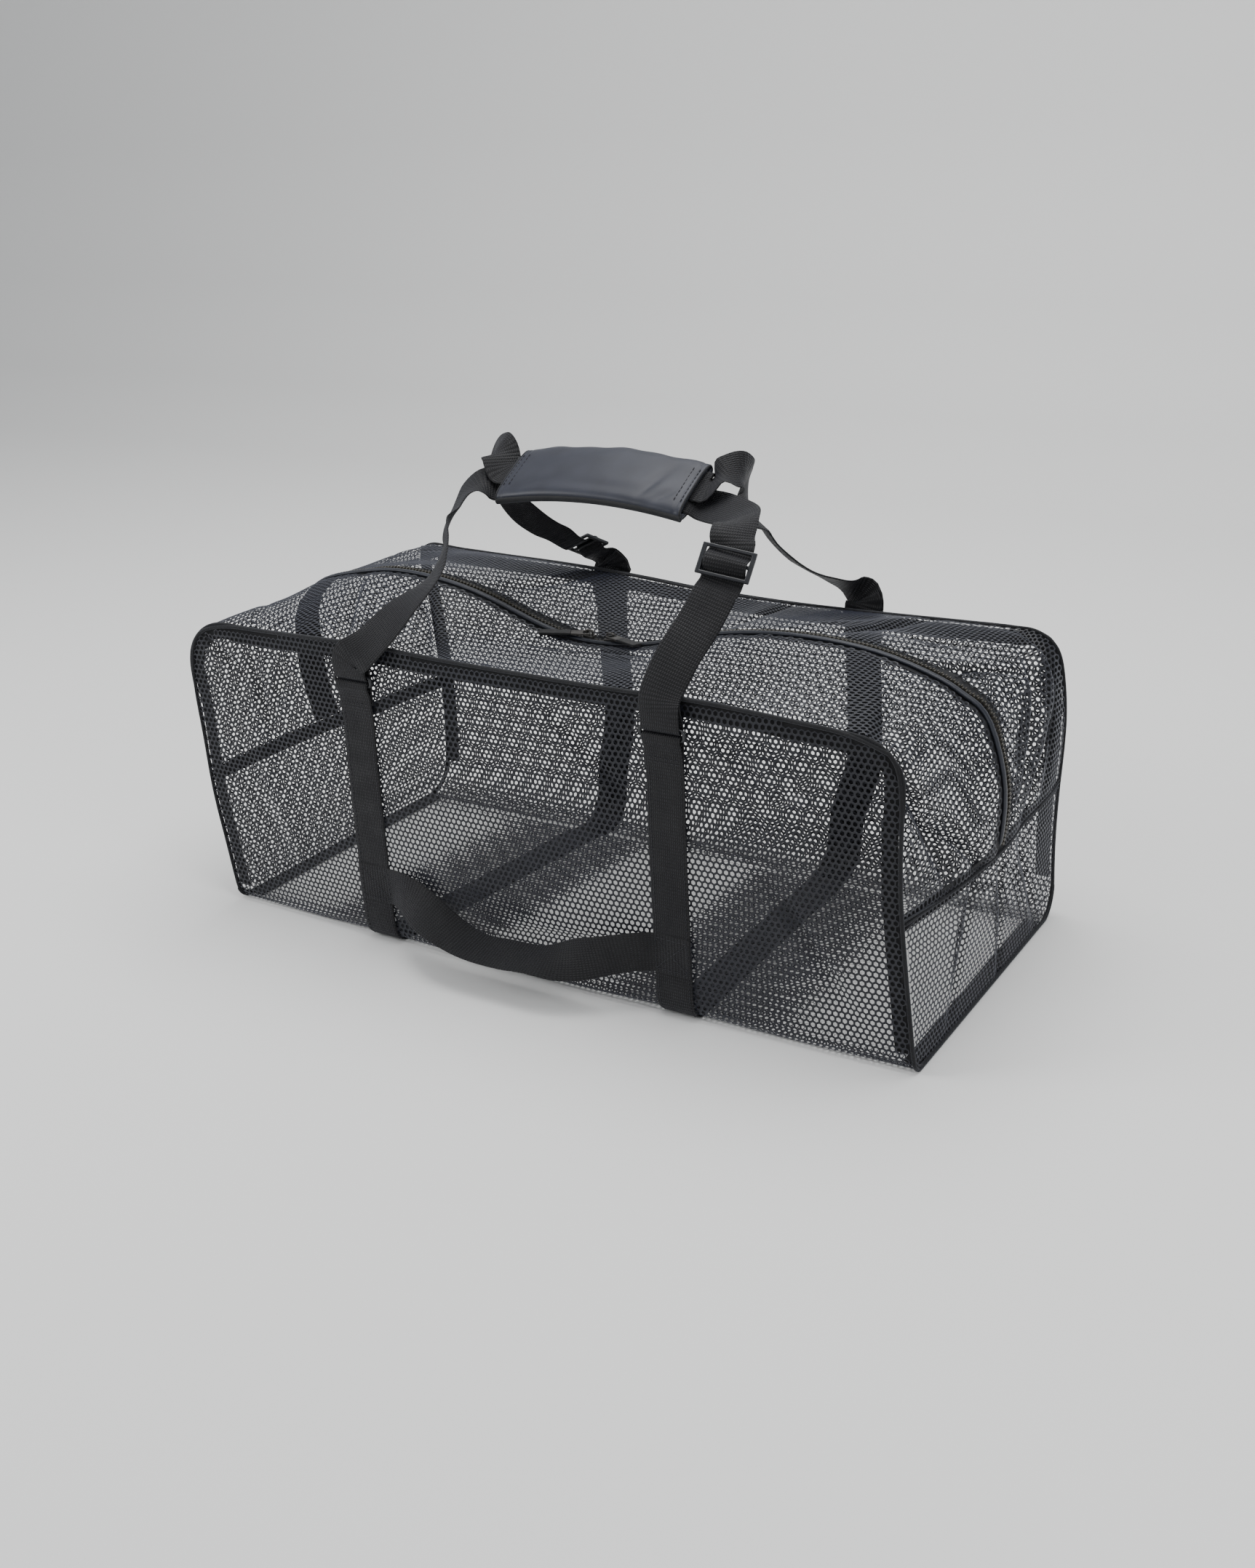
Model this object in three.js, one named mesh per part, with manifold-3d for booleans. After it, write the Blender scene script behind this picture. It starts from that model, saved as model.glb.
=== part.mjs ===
// Mesh dive gear bag: a long box of coarse net on four webbing legs, zipped along the top,
// with two carrying handles joined by a padded grip and a low drag handle on the front.
// Millimetres, +Z up, +X along the length, -Y the front. The origin is on the floor under the middle.
import * as THREE from "three";
import { mergeVertices } from "three/addons/utils/BufferGeometryUtils.js";
import Module from "manifold-3d";

const wasm = await Module();
wasm.setup();

// Body of the bag
const LENGTH = 750; // between the two end seams
const DEPTH = 338; // between the front and back seams
const HEIGHT = 296; // floor to the top seams
const CORNER_R = 38; // round top corners of the front and back panels
const FOLD_FRONT_R = 16; // the net's turn from the front panel into the base
const FOLD_BACK_R = 34;
const MID_SEAM_Z = 135; // seam across each end, where the zip stops
const NET_WALL = 1.6;
const SLACK = 30; // the furthest that slack net swells past its seam line
const PANEL_BELLY = 6; // front and back panels bow out at mid height
const FOOT_BELLY = 8; // and more where the load sits, just above the base
const GAP = 0.3; // between pieces that touch
const FOLD_GAP = 1.5; // how much rounder an end panel's foot corners are than the folded net

// Seam binding and zip
const TAPE_W = 14;
const TAPE_T = 1.2;
const TAPE_GAP = 0.7; // between the net and the tape inside it
const TAPE_EDGE = 2.6; // from the seam line to the near edge of the binding
const ZIP_TAPE_W = 16; // each half, from the middle of the chain
const ZIP_TAPE_T = 0.9;
const CHAIN_W = 6.4;
const CHAIN_T = 2.6;
const PIPING_W = 7;
const PIPING_T = 4;
const PIPING_GAP = 1.2; // bare tape between the chain and the piping
const ZIP_GAP = 0.55; // between its layers
const ZIP_BACK_W = 6; // half opening in the net behind the chain

// Webbing, rings and adjusters
const WEBBING_W = 38;
const WEBBING_T = 1.8;
const STRAP_GAP = 0.6; // between a strap and the net under it
const FLAT_HALF = 23; // the net is flat this far to either side of a strap's middle
const STRAP_FRONT_X = { left: -179, right: 158 };
const STRAP_BACK_X = { left: -124, right: 171 }; // at the top of the back panel
const STRAP_FOOT_X = { left: -140, right: 147 }; // at the foot of the back panel
const RING_DROP = { front: 25.5, back: 26.5 }; // from the top seams to the middle of a ring
const RING_BAR_R = 1.9;
const RING_SPREAD = 11; // between its two long bars
const RING_SIDE_GAP = 0.7; // between the webbing's edge and the ring's end bar
const RING_CHAMFER = 2.2;
const TAIL = 18; // strap folded back behind a ring
const HANDLE_TAIL = 12; // and the same of a handle
const TAIL_RISE = 1.2; // the strap bulges this much over the end of its tail
const LEG_STRAIGHT = 11; // a handle leaves its ring square before it leans
const GLIDE_BAR = 3;
const GLIDE_SPREAD = 12.2; // between neighbouring bars
const GLIDE_SIDE = 4;
const GLIDE_WEAVE = 4.4; // how far the webbing passes above and below the bars

// Padded grip
const GRIP_LENGTH = 201;
const GRIP_WIDTH = 68;
const GRIP_THICK = 15;
const GRIP_WALL = 4.6;
const GRIP_X = -6.5;
const GRIP_RISE = 132; // its ends above the top seams
const GRIP_TILT = THREE.MathUtils.degToRad(28.8); // front edge lower
const GRIP_ARCH = 9;
const GRIP_SHIFT = 7; // the two handles lie this far to either side of its middle
const GRIP_ENTRY = 1.12; // and are flat this far out, as a share of its half length

// Low drag handle
const LOW_HANDLE_Z = 64;
const LOW_HANDLE_REACH = 26;
const LOW_HANDLE_DROP = 26;

// Zip sliders and their pulls
const SLIDER_X = { left: -32, right: -8 };
const SLIDER_L = 10;
const SLIDER_W = 8.4;
const SLIDER_T = 2.4;
const BAIL_L = 8.4;
const BAIL_T = 2.4;
const BAIL_H = 5.4;
const BAIL_WIRE = 1.6;
const PULL_L = 18;
const PULL_W = 10.6;
const PULL_T = 1.6;
const PULL_EYE_W = 7.6;
const PULL_EYE_L = 5.6;
const TAB_L = 30;
const TAB_W = 10;
const TAB_T = 2.6;
const PULL_TURN = { left: THREE.MathUtils.degToRad(30), right: THREE.MathUtils.degToRad(25) };
const PULL_DIP = { left: THREE.MathUtils.degToRad(0.4), right: THREE.MathUtils.degToRad(1.2) };

// How far the seams and the zip line stand out from a plain round-cornered gate, as shares of SLACK.
// along runs from the right foot, up the end, over the top and down to the left foot.
const SWELL = [
  { along: 0.0, front: 0.25, middle: 0.1, back: -0.05 },
  { along: 0.053, front: 0.05, middle: 0.3, back: -0.1 },
  { along: 0.103, front: -0.13, middle: 0.4, back: 0.0 },
  { along: 0.149, front: -0.2, middle: 0.63, back: 0.17 },
  { along: 0.197, front: -0.05, middle: 0.2, back: 0.0 },
  { along: 0.22, front: -0.15, middle: -0.27, back: -0.3 },
  { along: 0.243, front: -0.1, middle: -0.2, back: -0.45 },
  { along: 0.286, front: 0.0, middle: 0.27, back: -0.5 },
  { along: 0.355, front: 0.15, middle: 0.45, back: -0.57 },
  { along: 0.424, front: 0.1, middle: 0.1, back: -0.6 },
  { along: 0.5, front: 0.12, middle: -0.62, back: -0.5 },
  { along: 0.561, front: 0.15, middle: -0.3, back: -0.3 },
  { along: 0.63, front: 0.25, middle: 0.6, back: -0.15 },
  { along: 0.699, front: 0.2, middle: 0.9, back: -0.1 },
  { along: 0.757, front: 0.2, middle: 0.5, back: 0.0 },
  { along: 0.78, front: 0.5, middle: 0.5, back: 0.3 },
  { along: 0.803, front: 0.85, middle: 0.95, back: -0.2 },
  { along: 0.851, front: 0.65, middle: 0.95, back: -0.4 },
  { along: 0.897, front: 0.7, middle: 0.4, back: -0.5 },
  { along: 0.947, front: 0.4, middle: 0.15, back: -0.45 },
  { along: 1.0, front: 0.1, middle: 0.0, back: -0.2 },
];

// Soft creases of the top and ends: place as shares of the run and of the half depth, turn in degrees from
// the run, length and width as shares of DEPTH, depth as a share of SLACK.
const TOP_CREASES = [
  { along: 0.17, across: -0.5, turn: 40, length: 0.3, width: 0.09, depth: -0.4 },
  { along: 0.14, across: 0.35, turn: -25, length: 0.28, width: 0.1, depth: -0.3 },
  { along: 0.3, across: 0.55, turn: 8, length: 0.35, width: 0.1, depth: -0.3 },
  { along: 0.44, across: -0.45, turn: 60, length: 0.25, width: 0.1, depth: -0.3 },
  { along: 0.58, across: -0.5, turn: -50, length: 0.28, width: 0.1, depth: -0.35 },
  { along: 0.74, across: -0.55, turn: 30, length: 0.3, width: 0.1, depth: -0.3 },
  { along: 0.68, across: 0.5, turn: -15, length: 0.35, width: 0.1, depth: -0.25 },
  { along: 0.86, across: 0.3, turn: 25, length: 0.3, width: 0.1, depth: -0.3 },
];

// The same for the front and back panels: across is a share of the half length, up a share of HEIGHT.
const FRONT_CREASES = [
  { across: -0.86, up: 0.72, turn: -52, length: 0.3, width: 0.08, depth: -0.3 },
  { across: 0.72, up: 0.78, turn: 30, length: 0.28, width: 0.08, depth: -0.3 },
  { across: 0.0, up: 0.3, turn: 12, length: 0.4, width: 0.12, depth: 0.22 },
  { across: 0.75, up: 0.3, turn: 60, length: 0.3, width: 0.1, depth: -0.2 },
];
const BACK_CREASES = [
  { across: 0.8, up: 0.7, turn: 50, length: 0.3, width: 0.09, depth: -0.28 },
  { across: -0.7, up: 0.45, turn: -40, length: 0.35, width: 0.1, depth: -0.25 },
  { across: 0.05, up: 0.55, turn: 5, length: 0.4, width: 0.12, depth: 0.2 },
];

// The four legs of the two handles, from ring to grip: up and back are shares of the way between the two,
// out is a sideways share of LENGTH, and wx, wy, wz is the way that the webbing's width points.
const HANDLE_LEGS = {
  front_left: [
    { up: 0.17, back: 0.02, out: 0.009, wx: 1, wy: 0, wz: -0.1 },
    { up: 0.4, back: 0.15, out: 0.026, wx: 0.9, wy: -0.1, wz: 0.1 },
    { up: 0.56, back: 0.3, out: 0.033, wx: 0.8, wy: -0.5, wz: 0.2 },
    { up: 0.7, back: 0.51, out: 0.005, wx: 0.6, wy: -0.75, wz: 0.2 },
    { up: 0.77, back: 0.66, out: -0.022, wx: 0.6, wy: -0.8, wz: 0.1 },
    { up: 0.84, back: 0.76, out: -0.035, wx: 0.6, wy: -0.8, wz: 0 },
    { up: 0.96, back: 0.87, out: -0.042, wx: 0.5, wy: -0.8, wz: -0.2 },
    { up: 1.0, back: 0.94, out: -0.033, wx: 0.2, wy: -0.85, wz: -0.4 },
  ],
  front_right: [
    { up: 0.17, back: 0.03, out: 0.013, wx: 1, wy: 0.1, wz: -0.1 },
    { up: 0.36, back: 0.13, out: 0.039, wx: 0.95, wy: 0.25, wz: -0.15 },
    { up: 0.52, back: 0.25, out: 0.064, wx: 0.95, wy: 0.25, wz: -0.15 },
    { up: 0.69, back: 0.38, out: 0.086, wx: 0.95, wy: 0.15, wz: -0.2 },
    { up: 0.86, back: 0.48, out: 0.104, wx: 0.9, wy: 0.2, wz: -0.2 },
    { up: 0.99, back: 0.63, out: 0.105, wx: 0.7, wy: 0.6, wz: 0 },
    { up: 0.98, back: 0.82, out: 0.085, wx: 0.4, wy: 0.8, wz: 0.3 },
    { up: 0.97, back: 0.94, out: 0.045, wx: 0.1, wy: 0.87, wz: 0.45 },
  ],
  back_right: [
    { up: 0.13, back: 0.01, out: -0.006, wx: 1, wy: 0, wz: 0 },
    { up: 0.28, back: 0.16, out: -0.04, wx: 0.85, wy: -0.4, wz: -0.1 },
    { up: 0.44, back: 0.27, out: -0.047, wx: 0.65, wy: -0.7, wz: 0.1 },
    { up: 0.6, back: 0.39, out: -0.037, wx: 0.56, wy: -0.8, wz: 0.2 },
    { up: 0.71, back: 0.5, out: -0.027, wx: 0.5, wy: -0.85, wz: 0.1 },
    { up: 0.89, back: 0.65, out: 0.005, wx: 0.3, wy: -0.9, wz: 0 },
    { up: 1.05, back: 0.83, out: 0.045, wx: 0.15, wy: -0.9, wz: -0.3 },
    { up: 1.07, back: 0.95, out: 0.038, wx: 0, wy: -0.9, wz: -0.45 },
  ],
  back_left: [
    { up: 0.12, back: 0.02, out: 0.005, wx: 1, wy: 0.1, wz: 0 },
    { up: 0.22, back: 0.09, out: -0.016, wx: 0.95, wy: 0.1, wz: 0.1 },
    { up: 0.32, back: 0.22, out: -0.037, wx: 0.9, wy: 0.1, wz: 0.2 },
    { up: 0.43, back: 0.37, out: -0.057, wx: 0.95, wy: 0.2, wz: 0.2 },
    { up: 0.58, back: 0.53, out: -0.067, wx: 0.95, wy: 0.1, wz: 0.2 },
    { up: 0.79, back: 0.68, out: -0.076, wx: 0.9, wy: -0.3, wz: 0.1 },
    { up: 1.0, back: 0.79, out: -0.07, wx: 0.5, wy: -0.8, wz: -0.2 },
    { up: 1.1, back: 0.92, out: -0.042, wx: 0.1, wy: -0.87, wz: -0.45 },
  ],
};
const GLIDE_AT = { front_right: 0.525, back_left: 0.312 }; // share of the leg where its adjuster sits

// The low handle, from the left strap to the right one: reach and drop are shares of the named sizes, and
// tilt turns the webbing from upright, 0, to flat with its outer face up, 90.
const LOW_HANDLE = [
  { along: 0.06, reach: 0, drop: 0, tilt: 0 },
  { along: 0.15, reach: 0.35, drop: -0.05, tilt: 20 },
  { along: 0.28, reach: 0.85, drop: 0.4, tilt: 62 },
  { along: 0.4, reach: 1, drop: 0.85, tilt: 80 },
  { along: 0.52, reach: 1, drop: 0.88, tilt: 76 },
  { along: 0.62, reach: 1, drop: 0.78, tilt: 76 },
  { along: 0.7, reach: 0.95, drop: 0.62, tilt: 48 },
  { along: 0.8, reach: 0.75, drop: 0.28, tilt: 10 },
  { along: 0.89, reach: 0.35, drop: 0.02, tilt: 0 },
  { along: 0.945, reach: 0, drop: 0, tilt: 0 },
];

const FRONT = { sign: -1, column: "front", fold: FOLD_FRONT_R, creases: FRONT_CREASES };
const BACK = { sign: 1, column: "back", fold: FOLD_BACK_R, creases: BACK_CREASES };
const HALF_LENGTH = LENGTH / 2;
const HALF_DEPTH = DEPTH / 2;
const RING_Z = { front: HEIGHT - RING_DROP.front, back: HEIGHT - RING_DROP.back };
const SIDE_RUN = HEIGHT - CORNER_R;
const ARC_RUN = (Math.PI / 2) * CORNER_R;
const TOP_RUN = LENGTH - 2 * CORNER_R;
const RUN = 2 * SIDE_RUN + 2 * ARC_RUN + TOP_RUN;
const CORNER_RUN = SIDE_RUN + ARC_RUN / 2;
const HALF_COLUMNS = 5;
const lerp = THREE.MathUtils.lerp;

// Smooth curve through one column of a table, read at a place along it.
function readTable(rows, column, along) {
  const last = rows.length - 1;
  let i = 0;
  while (i < last - 1 && along > rows[i + 1].along) i += 1;
  const slope = (k) => {
    const before = rows[Math.max(k - 1, 0)];
    const after = rows[Math.min(k + 1, last)];
    return (after[column] - before[column]) / (after.along - before.along);
  };
  const step = rows[i + 1].along - rows[i].along;
  const t = THREE.MathUtils.clamp((along - rows[i].along) / step, 0, 1);
  const a = rows[i][column];
  const b = rows[i + 1][column];
  const ease = t * t * (3 - 2 * t);
  const leave = t * (1 - t) * (1 - t) * slope(i) * step;
  const arrive = t * t * (t - 1) * slope(i + 1) * step;
  return a + (b - a) * ease + leave + arrive;
}

// The plain gate that the seams follow: a point and its outward direction in the XZ plane.
function gate(run) {
  const arcStart = HALF_LENGTH - CORNER_R;
  const arcFoot = HEIGHT - CORNER_R;
  if (run <= SIDE_RUN) return { x: HALF_LENGTH, z: run, nx: 1, nz: 0 };
  if (run <= SIDE_RUN + ARC_RUN) {
    const a = (run - SIDE_RUN) / CORNER_R;
    const [nx, nz] = [Math.cos(a), Math.sin(a)];
    return { x: arcStart + CORNER_R * nx, z: arcFoot + CORNER_R * nz, nx, nz };
  }
  if (run <= RUN / 2) return { x: arcStart - (run - SIDE_RUN - ARC_RUN), z: HEIGHT, nx: 0, nz: 1 };
  const mirror = gate(RUN - run);
  return { x: -mirror.x, z: mirror.z, nx: -mirror.nx, nz: mirror.nz };
}

function creaseDepth(creases, centreOf, u, v, size) {
  let depth = 0;
  for (const c of creases) {
    const centre = centreOf(c);
    const a = THREE.MathUtils.degToRad(c.turn);
    const du = u - centre.u;
    const dv = v - centre.v;
    const lengthwise = (du * Math.cos(a) + dv * Math.sin(a)) / (c.length * size);
    const sideways = (dv * Math.cos(a) - du * Math.sin(a)) / (c.width * size);
    depth += c.depth * Math.exp(-lengthwise * lengthwise - sideways * sideways);
  }
  return depth * SLACK;
}

// The seam line of the front or back panel.
function rail(side, run) {
  const g = gate(run);
  const out = SLACK * readTable(SWELL, side.column, run / RUN);
  return { x: g.x + g.nx * out, z: g.z + g.nz * out, nx: g.nx, nz: g.nz };
}

// The strip of net over the top and down both ends, swelling between its two seams.
function stripPoint(run, y) {
  const g = gate(run);
  const t = y / HALF_DEPTH;
  const along = run / RUN;
  const front = readTable(SWELL, "front", along) * (t * t - t) * 0.5;
  const back = readTable(SWELL, "back", along) * (t * t + t) * 0.5;
  const middle = readTable(SWELL, "middle", along) * (1 - t * t);
  const centreOf = (c) => ({ u: c.along * RUN, v: c.across * HALF_DEPTH });
  const fade = Math.max(0, 1 - t * t) * Math.min(1, Math.min(run, RUN - run) / CORNER_R);
  const crease = fade * creaseDepth(TOP_CREASES, centreOf, run, y, DEPTH);
  const out = SLACK * (front + middle + back) + crease;
  return new THREE.Vector3(g.x + g.nx * out, y, g.z + g.nz * out);
}

function stripNormal(run, y) {
  const step = 1;
  const alongRun = stripPoint(Math.min(run + step, RUN), y).sub(stripPoint(Math.max(run - step, 0), y));
  const alongY = stripPoint(run, y + step).sub(stripPoint(run, y - step));
  return alongY.cross(alongRun).normalize();
}

// A point that stands a height off the strip.
function onStrip(run, y, height) {
  return stripPoint(run, y).addScaledVector(stripNormal(run, y), height);
}

// The middle of a strap on the front or back panel, which leans a little on the back one.
function strapX(side, which, z) {
  if (side === FRONT) return STRAP_FRONT_X[which];
  const rise = THREE.MathUtils.smoothstep(z, 0.12 * HEIGHT, 0.45 * HEIGHT);
  return lerp(STRAP_FOOT_X[which], STRAP_BACK_X[which], rise);
}

// How far a front or back panel bows out of the plane of its seams. It is flat and smooth under the straps.
function panelDepth(side, x, z) {
  let flatX = x;
  let free = 1;
  for (const which of ["left", "right"]) {
    const middle = strapX(side, which, z);
    const near = 1 - THREE.MathUtils.smoothstep(Math.abs(x - middle), FLAT_HALF, 2 * FLAT_HALF);
    flatX = lerp(flatX, middle, near);
    free -= near;
  }
  const across = flatX / HALF_LENGTH;
  const up = THREE.MathUtils.clamp(z / HEIGHT, 0, 1);
  const fade = Math.max(0, 1 - across * across);
  const belly = PANEL_BELLY * 4 * up * (1 - up) + FOOT_BELLY * (1 - up) ** 3;
  const centreOf = (c) => ({ u: c.across * HALF_LENGTH, v: c.up * HEIGHT });
  const crease = free * creaseDepth(side.creases, centreOf, x, z, DEPTH);
  return fade * (belly + 4 * up * (1 - up) * crease);
}

function onPanel(side, x, z, height) {
  return new THREE.Vector3(x, side.sign * (HALF_DEPTH + panelDepth(side, x, z) + height), z);
}

// The base lies on the floor, and rides over the straps that pass under it.
function footX(which, y) {
  return lerp(STRAP_FRONT_X[which], STRAP_FOOT_X[which], (y + HALF_DEPTH) / DEPTH);
}

function baseLift(x, y) {
  const full = WEBBING_T + STRAP_GAP;
  const near = Math.min(Math.abs(x - footX("left", y)), Math.abs(x - footX("right", y)));
  return full * (1 - THREE.MathUtils.smoothstep(near, WEBBING_W, 2 * WEBBING_W));
}

// The wrap: one length of net down the front, under the base and up the back.
function patchPoint(side, u, w) {
  const s = (u + 1) / 2;
  const top = rail(side, lerp(RUN - CORNER_RUN, CORNER_RUN, s));
  const right = rail(side, lerp(side.fold, CORNER_RUN, w));
  const left = rail(side, RUN - lerp(side.fold, CORNER_RUN, w));
  const rightFoot = rail(side, side.fold);
  const leftFoot = rail(side, RUN - side.fold);
  const rightTop = rail(side, CORNER_RUN);
  const leftTop = rail(side, RUN - CORNER_RUN);
  const footAt = lerp(leftFoot.x, rightFoot.x, s);
  const foot = { x: footAt, z: side.fold + baseLift(footAt, side.sign * HALF_DEPTH) };
  const blend = (axis) => {
    const upright = lerp(foot[axis], top[axis], w);
    const sideways = lerp(left[axis], right[axis], s);
    const low = lerp(leftFoot[axis], rightFoot[axis], s);
    const high = lerp(leftTop[axis], rightTop[axis], s);
    return upright + sideways - lerp(low, high, w);
  };
  return onPanel(side, blend("x"), blend("z"), 0);
}

function foldPoint(side, u, angle) {
  const s = (u + 1) / 2;
  const z = side.fold * (1 - Math.sin(angle));
  const inward = side.fold * (1 - Math.cos(angle));
  const y = side.sign * (HALF_DEPTH - inward);
  const x = lerp(stripPoint(RUN - z, y).x, stripPoint(z, y).x, s);
  const outward = panelDepth(side, x, side.fold);
  return new THREE.Vector3(x, y + side.sign * outward, z + baseLift(x, y));
}

function basePoint(u, w) {
  const s = (u + 1) / 2;
  const y0 = -HALF_DEPTH + FOLD_FRONT_R;
  const y1 = HALF_DEPTH - FOLD_BACK_R;
  const y = lerp(y0, y1, w);
  const x = lerp(stripPoint(RUN, y).x, stripPoint(0, y).x, s);
  const bow = lerp(-panelDepth(FRONT, x, FRONT.fold), panelDepth(BACK, x, BACK.fold), w);
  return new THREE.Vector3(x, y + bow, baseLift(x, y));
}

function wrapPoint(u, v) {
  if (v <= 1) return patchPoint(FRONT, u, 1 - v);
  if (v <= 2) return foldPoint(FRONT, u, (v - 1) * (Math.PI / 2));
  if (v <= 3) return basePoint(u, v - 2);
  if (v <= 4) return foldPoint(BACK, u, (4 - v) * (Math.PI / 2));
  return patchPoint(BACK, u, v - 4);
}

// Turns triangles into one closed geometry whose faces point outwards.
function closed(points, faces) {
  const positions = new Float32Array(points.flatMap((p) => [p.x, p.y, p.z]));
  let volume = 0;
  for (const [a, b, c] of faces) {
    volume += points[a].dot(points[b].clone().cross(points[c]));
  }
  const index = faces.flatMap(([a, b, c]) => (volume < 0 ? [a, c, b] : [a, b, c]));
  const geometry = new THREE.BufferGeometry();
  geometry.setAttribute("position", new THREE.BufferAttribute(positions, 3));
  geometry.setIndex(index);
  return geometry;
}

// A sheet of net: the outer face through a grid, and the inner one a wall behind it.
function sheet(pointAt, us, vs, wall) {
  const step = 1e-3;
  const outer = [];
  const inner = [];
  for (const v of vs) {
    for (const u of us(v)) {
      const p = pointAt(u, v);
      const du = pointAt(u + step, v).sub(pointAt(u - step, v));
      const dv = pointAt(u, v + step).sub(pointAt(u, v - step));
      outer.push(p);
      inner.push(p.clone().addScaledVector(du.cross(dv).normalize(), -wall));
    }
  }
  return closeSheet(outer, inner, us(vs[0]).length, vs.length);
}

function closeSheet(outer, inner, columns, rows) {
  const size = columns * rows;
  const faces = [];
  const quad = (a, b, c, d) => faces.push([a, b, c], [a, c, d]);
  for (let j = 0; j < rows - 1; j += 1) {
    for (let i = 0; i < columns - 1; i += 1) {
      const a = j * columns + i;
      quad(a, a + 1, a + columns + 1, a + columns);
      quad(size + a, size + a + columns, size + a + columns + 1, size + a + 1);
    }
  }
  const rim = [];
  for (let i = 0; i < columns; i += 1) rim.push(i);
  for (let j = 1; j < rows; j += 1) rim.push(j * columns + columns - 1);
  for (let i = columns - 2; i >= 0; i -= 1) rim.push((rows - 1) * columns + i);
  for (let j = rows - 2; j > 0; j -= 1) rim.push(j * columns);
  rim.forEach((a, k) => {
    const b = rim[(k + 1) % rim.length];
    quad(a, size + a, size + b, b);
  });
  return closed([...outer, ...inner], faces);
}

// Joins a row of like outlines into a solid. An endless one closes on itself.
function loft(sections, endless = false) {
  const sides = sections[0].length;
  const points = sections.flat();
  const faces = [];
  const spans = endless ? sections.length : sections.length - 1;
  for (let i = 0; i < spans; i += 1) {
    const next = (i + 1) % sections.length;
    for (let k = 0; k < sides; k += 1) {
      const k2 = (k + 1) % sides;
      const [a, b] = [i * sides + k, i * sides + k2];
      const [c, d] = [next * sides + k2, next * sides + k];
      faces.push([a, b, c], [a, c, d]);
    }
  }
  if (!endless) {
    const last = (sections.length - 1) * sides;
    for (let k = 1; k < sides - 1; k += 1) {
      faces.push([0, k + 1, k], [last, last + k, last + k + 1]);
    }
  }
  return closed(points, faces);
}

function spread(from, to, steps) {
  return Array.from({ length: steps + 1 }, (_, i) => lerp(from, to, i / steps));
}

// Webbing along a path of { at, across } places.
function webbing(path) {
  const sections = path.map((place, i) => {
    const before = path[Math.max(i - 1, 0)].at;
    const after = path[Math.min(i + 1, path.length - 1)].at;
    const tangent = after.clone().sub(before).normalize();
    const across = place.across.clone().addScaledVector(tangent, -place.across.dot(tangent));
    const wide = across.normalize().multiplyScalar(WEBBING_W / 2);
    const thick = tangent.cross(wide).normalize().multiplyScalar(WEBBING_T / 2);
    const corner = (w, t) => place.at.clone().addScaledVector(wide, w).addScaledVector(thick, t);
    return [corner(-1, -1), corner(1, -1), corner(1, 1), corner(-1, 1)];
  });
  return loft(sections);
}

const materials = {
  net: new THREE.MeshStandardMaterial({ color: 0x1b1d24, roughness: 0.7 }),
  binding: new THREE.MeshStandardMaterial({ color: 0x101014, roughness: 0.9 }),
  webbing: new THREE.MeshStandardMaterial({ color: 0x17171a, roughness: 0.85 }),
  plastic: new THREE.MeshStandardMaterial({ color: 0x1d1f24, roughness: 0.4 }),
  chain: new THREE.MeshStandardMaterial({ color: 0x2a2823, roughness: 0.45 }),
  slider: new THREE.MeshStandardMaterial({ color: 0x3c3b38, roughness: 0.45, metalness: 0.8 }),
  grip: new THREE.MeshStandardMaterial({ color: 0x2b2e38, roughness: 0.55 }),
};

const bag = new THREE.Group();

function add(name, geometry, material) {
  const mesh = new THREE.Mesh(geometry, material);
  mesh.name = name;
  bag.add(mesh);
  return mesh;
}

// The wrap, closer rows where it turns
function strapXOnWrap(which, v) {
  if (v <= 1) return STRAP_FRONT_X[which];
  if (v >= 4) return strapX(BACK, which, wrapPoint(0, v).z);
  return footX(which, wrapPoint(0, v).y);
}

// The place across one row of the wrap that stands at a given x.
function columnAt(x, v) {
  let u = x / HALF_LENGTH;
  for (let i = 0; i < 5; i += 1) u -= (wrapPoint(u, v).x - x) / HALF_LENGTH;
  return u;
}

// Columns follow both straps' edges, so that the net is flat under them
function wrapColumns(v) {
  const edges = ["left", "right"].flatMap((which) => {
    const middle = strapXOnWrap(which, v);
    return [columnAt(middle - FLAT_HALF, v), columnAt(middle + FLAT_HALF, v)];
  });
  return [...spread(-1, edges[0], 5), ...spread(edges[1], edges[2], 9), ...spread(edges[3], 1, 5)];
}

const wrapRows = [
  ...[0, 0.06, 0.2, 0.4, 0.6, 0.78, 0.92],
  ...spread(1, 2, 4),
  ...spread(2, 3, 5).slice(1),
  ...spread(3, 4, 5).slice(1),
  ...[4.08, 4.22, 4.4, 4.6, 4.8, 4.94, 5],
];
const wrapOutward = (u, v) => wrapPoint(-u, v);
const columnsOutward = (v) => wrapColumns(v).map((u) => -u);
add("net_wrap", sheet(wrapOutward, columnsOutward, wrapRows, NET_WALL), materials.net);

// Strip panels reach from seam to seam inside the wrap. A round foot corner follows the folded net.
function stripEdge(side, run) {
  const foot = NET_WALL + GAP;
  const radius = side.fold - foot + FOLD_GAP;
  const height = Math.min(run, RUN - run) - foot;
  const short = Math.max(0, radius - height);
  const inset = radius - Math.sqrt(radius * radius - short * short);
  return side.sign * (HALF_DEPTH - foot - inset);
}

function stripSheet(runs, columnsAt) {
  return sheet((y, run) => stripPoint(run, y), columnsAt, runs, NET_WALL);
}

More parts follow.
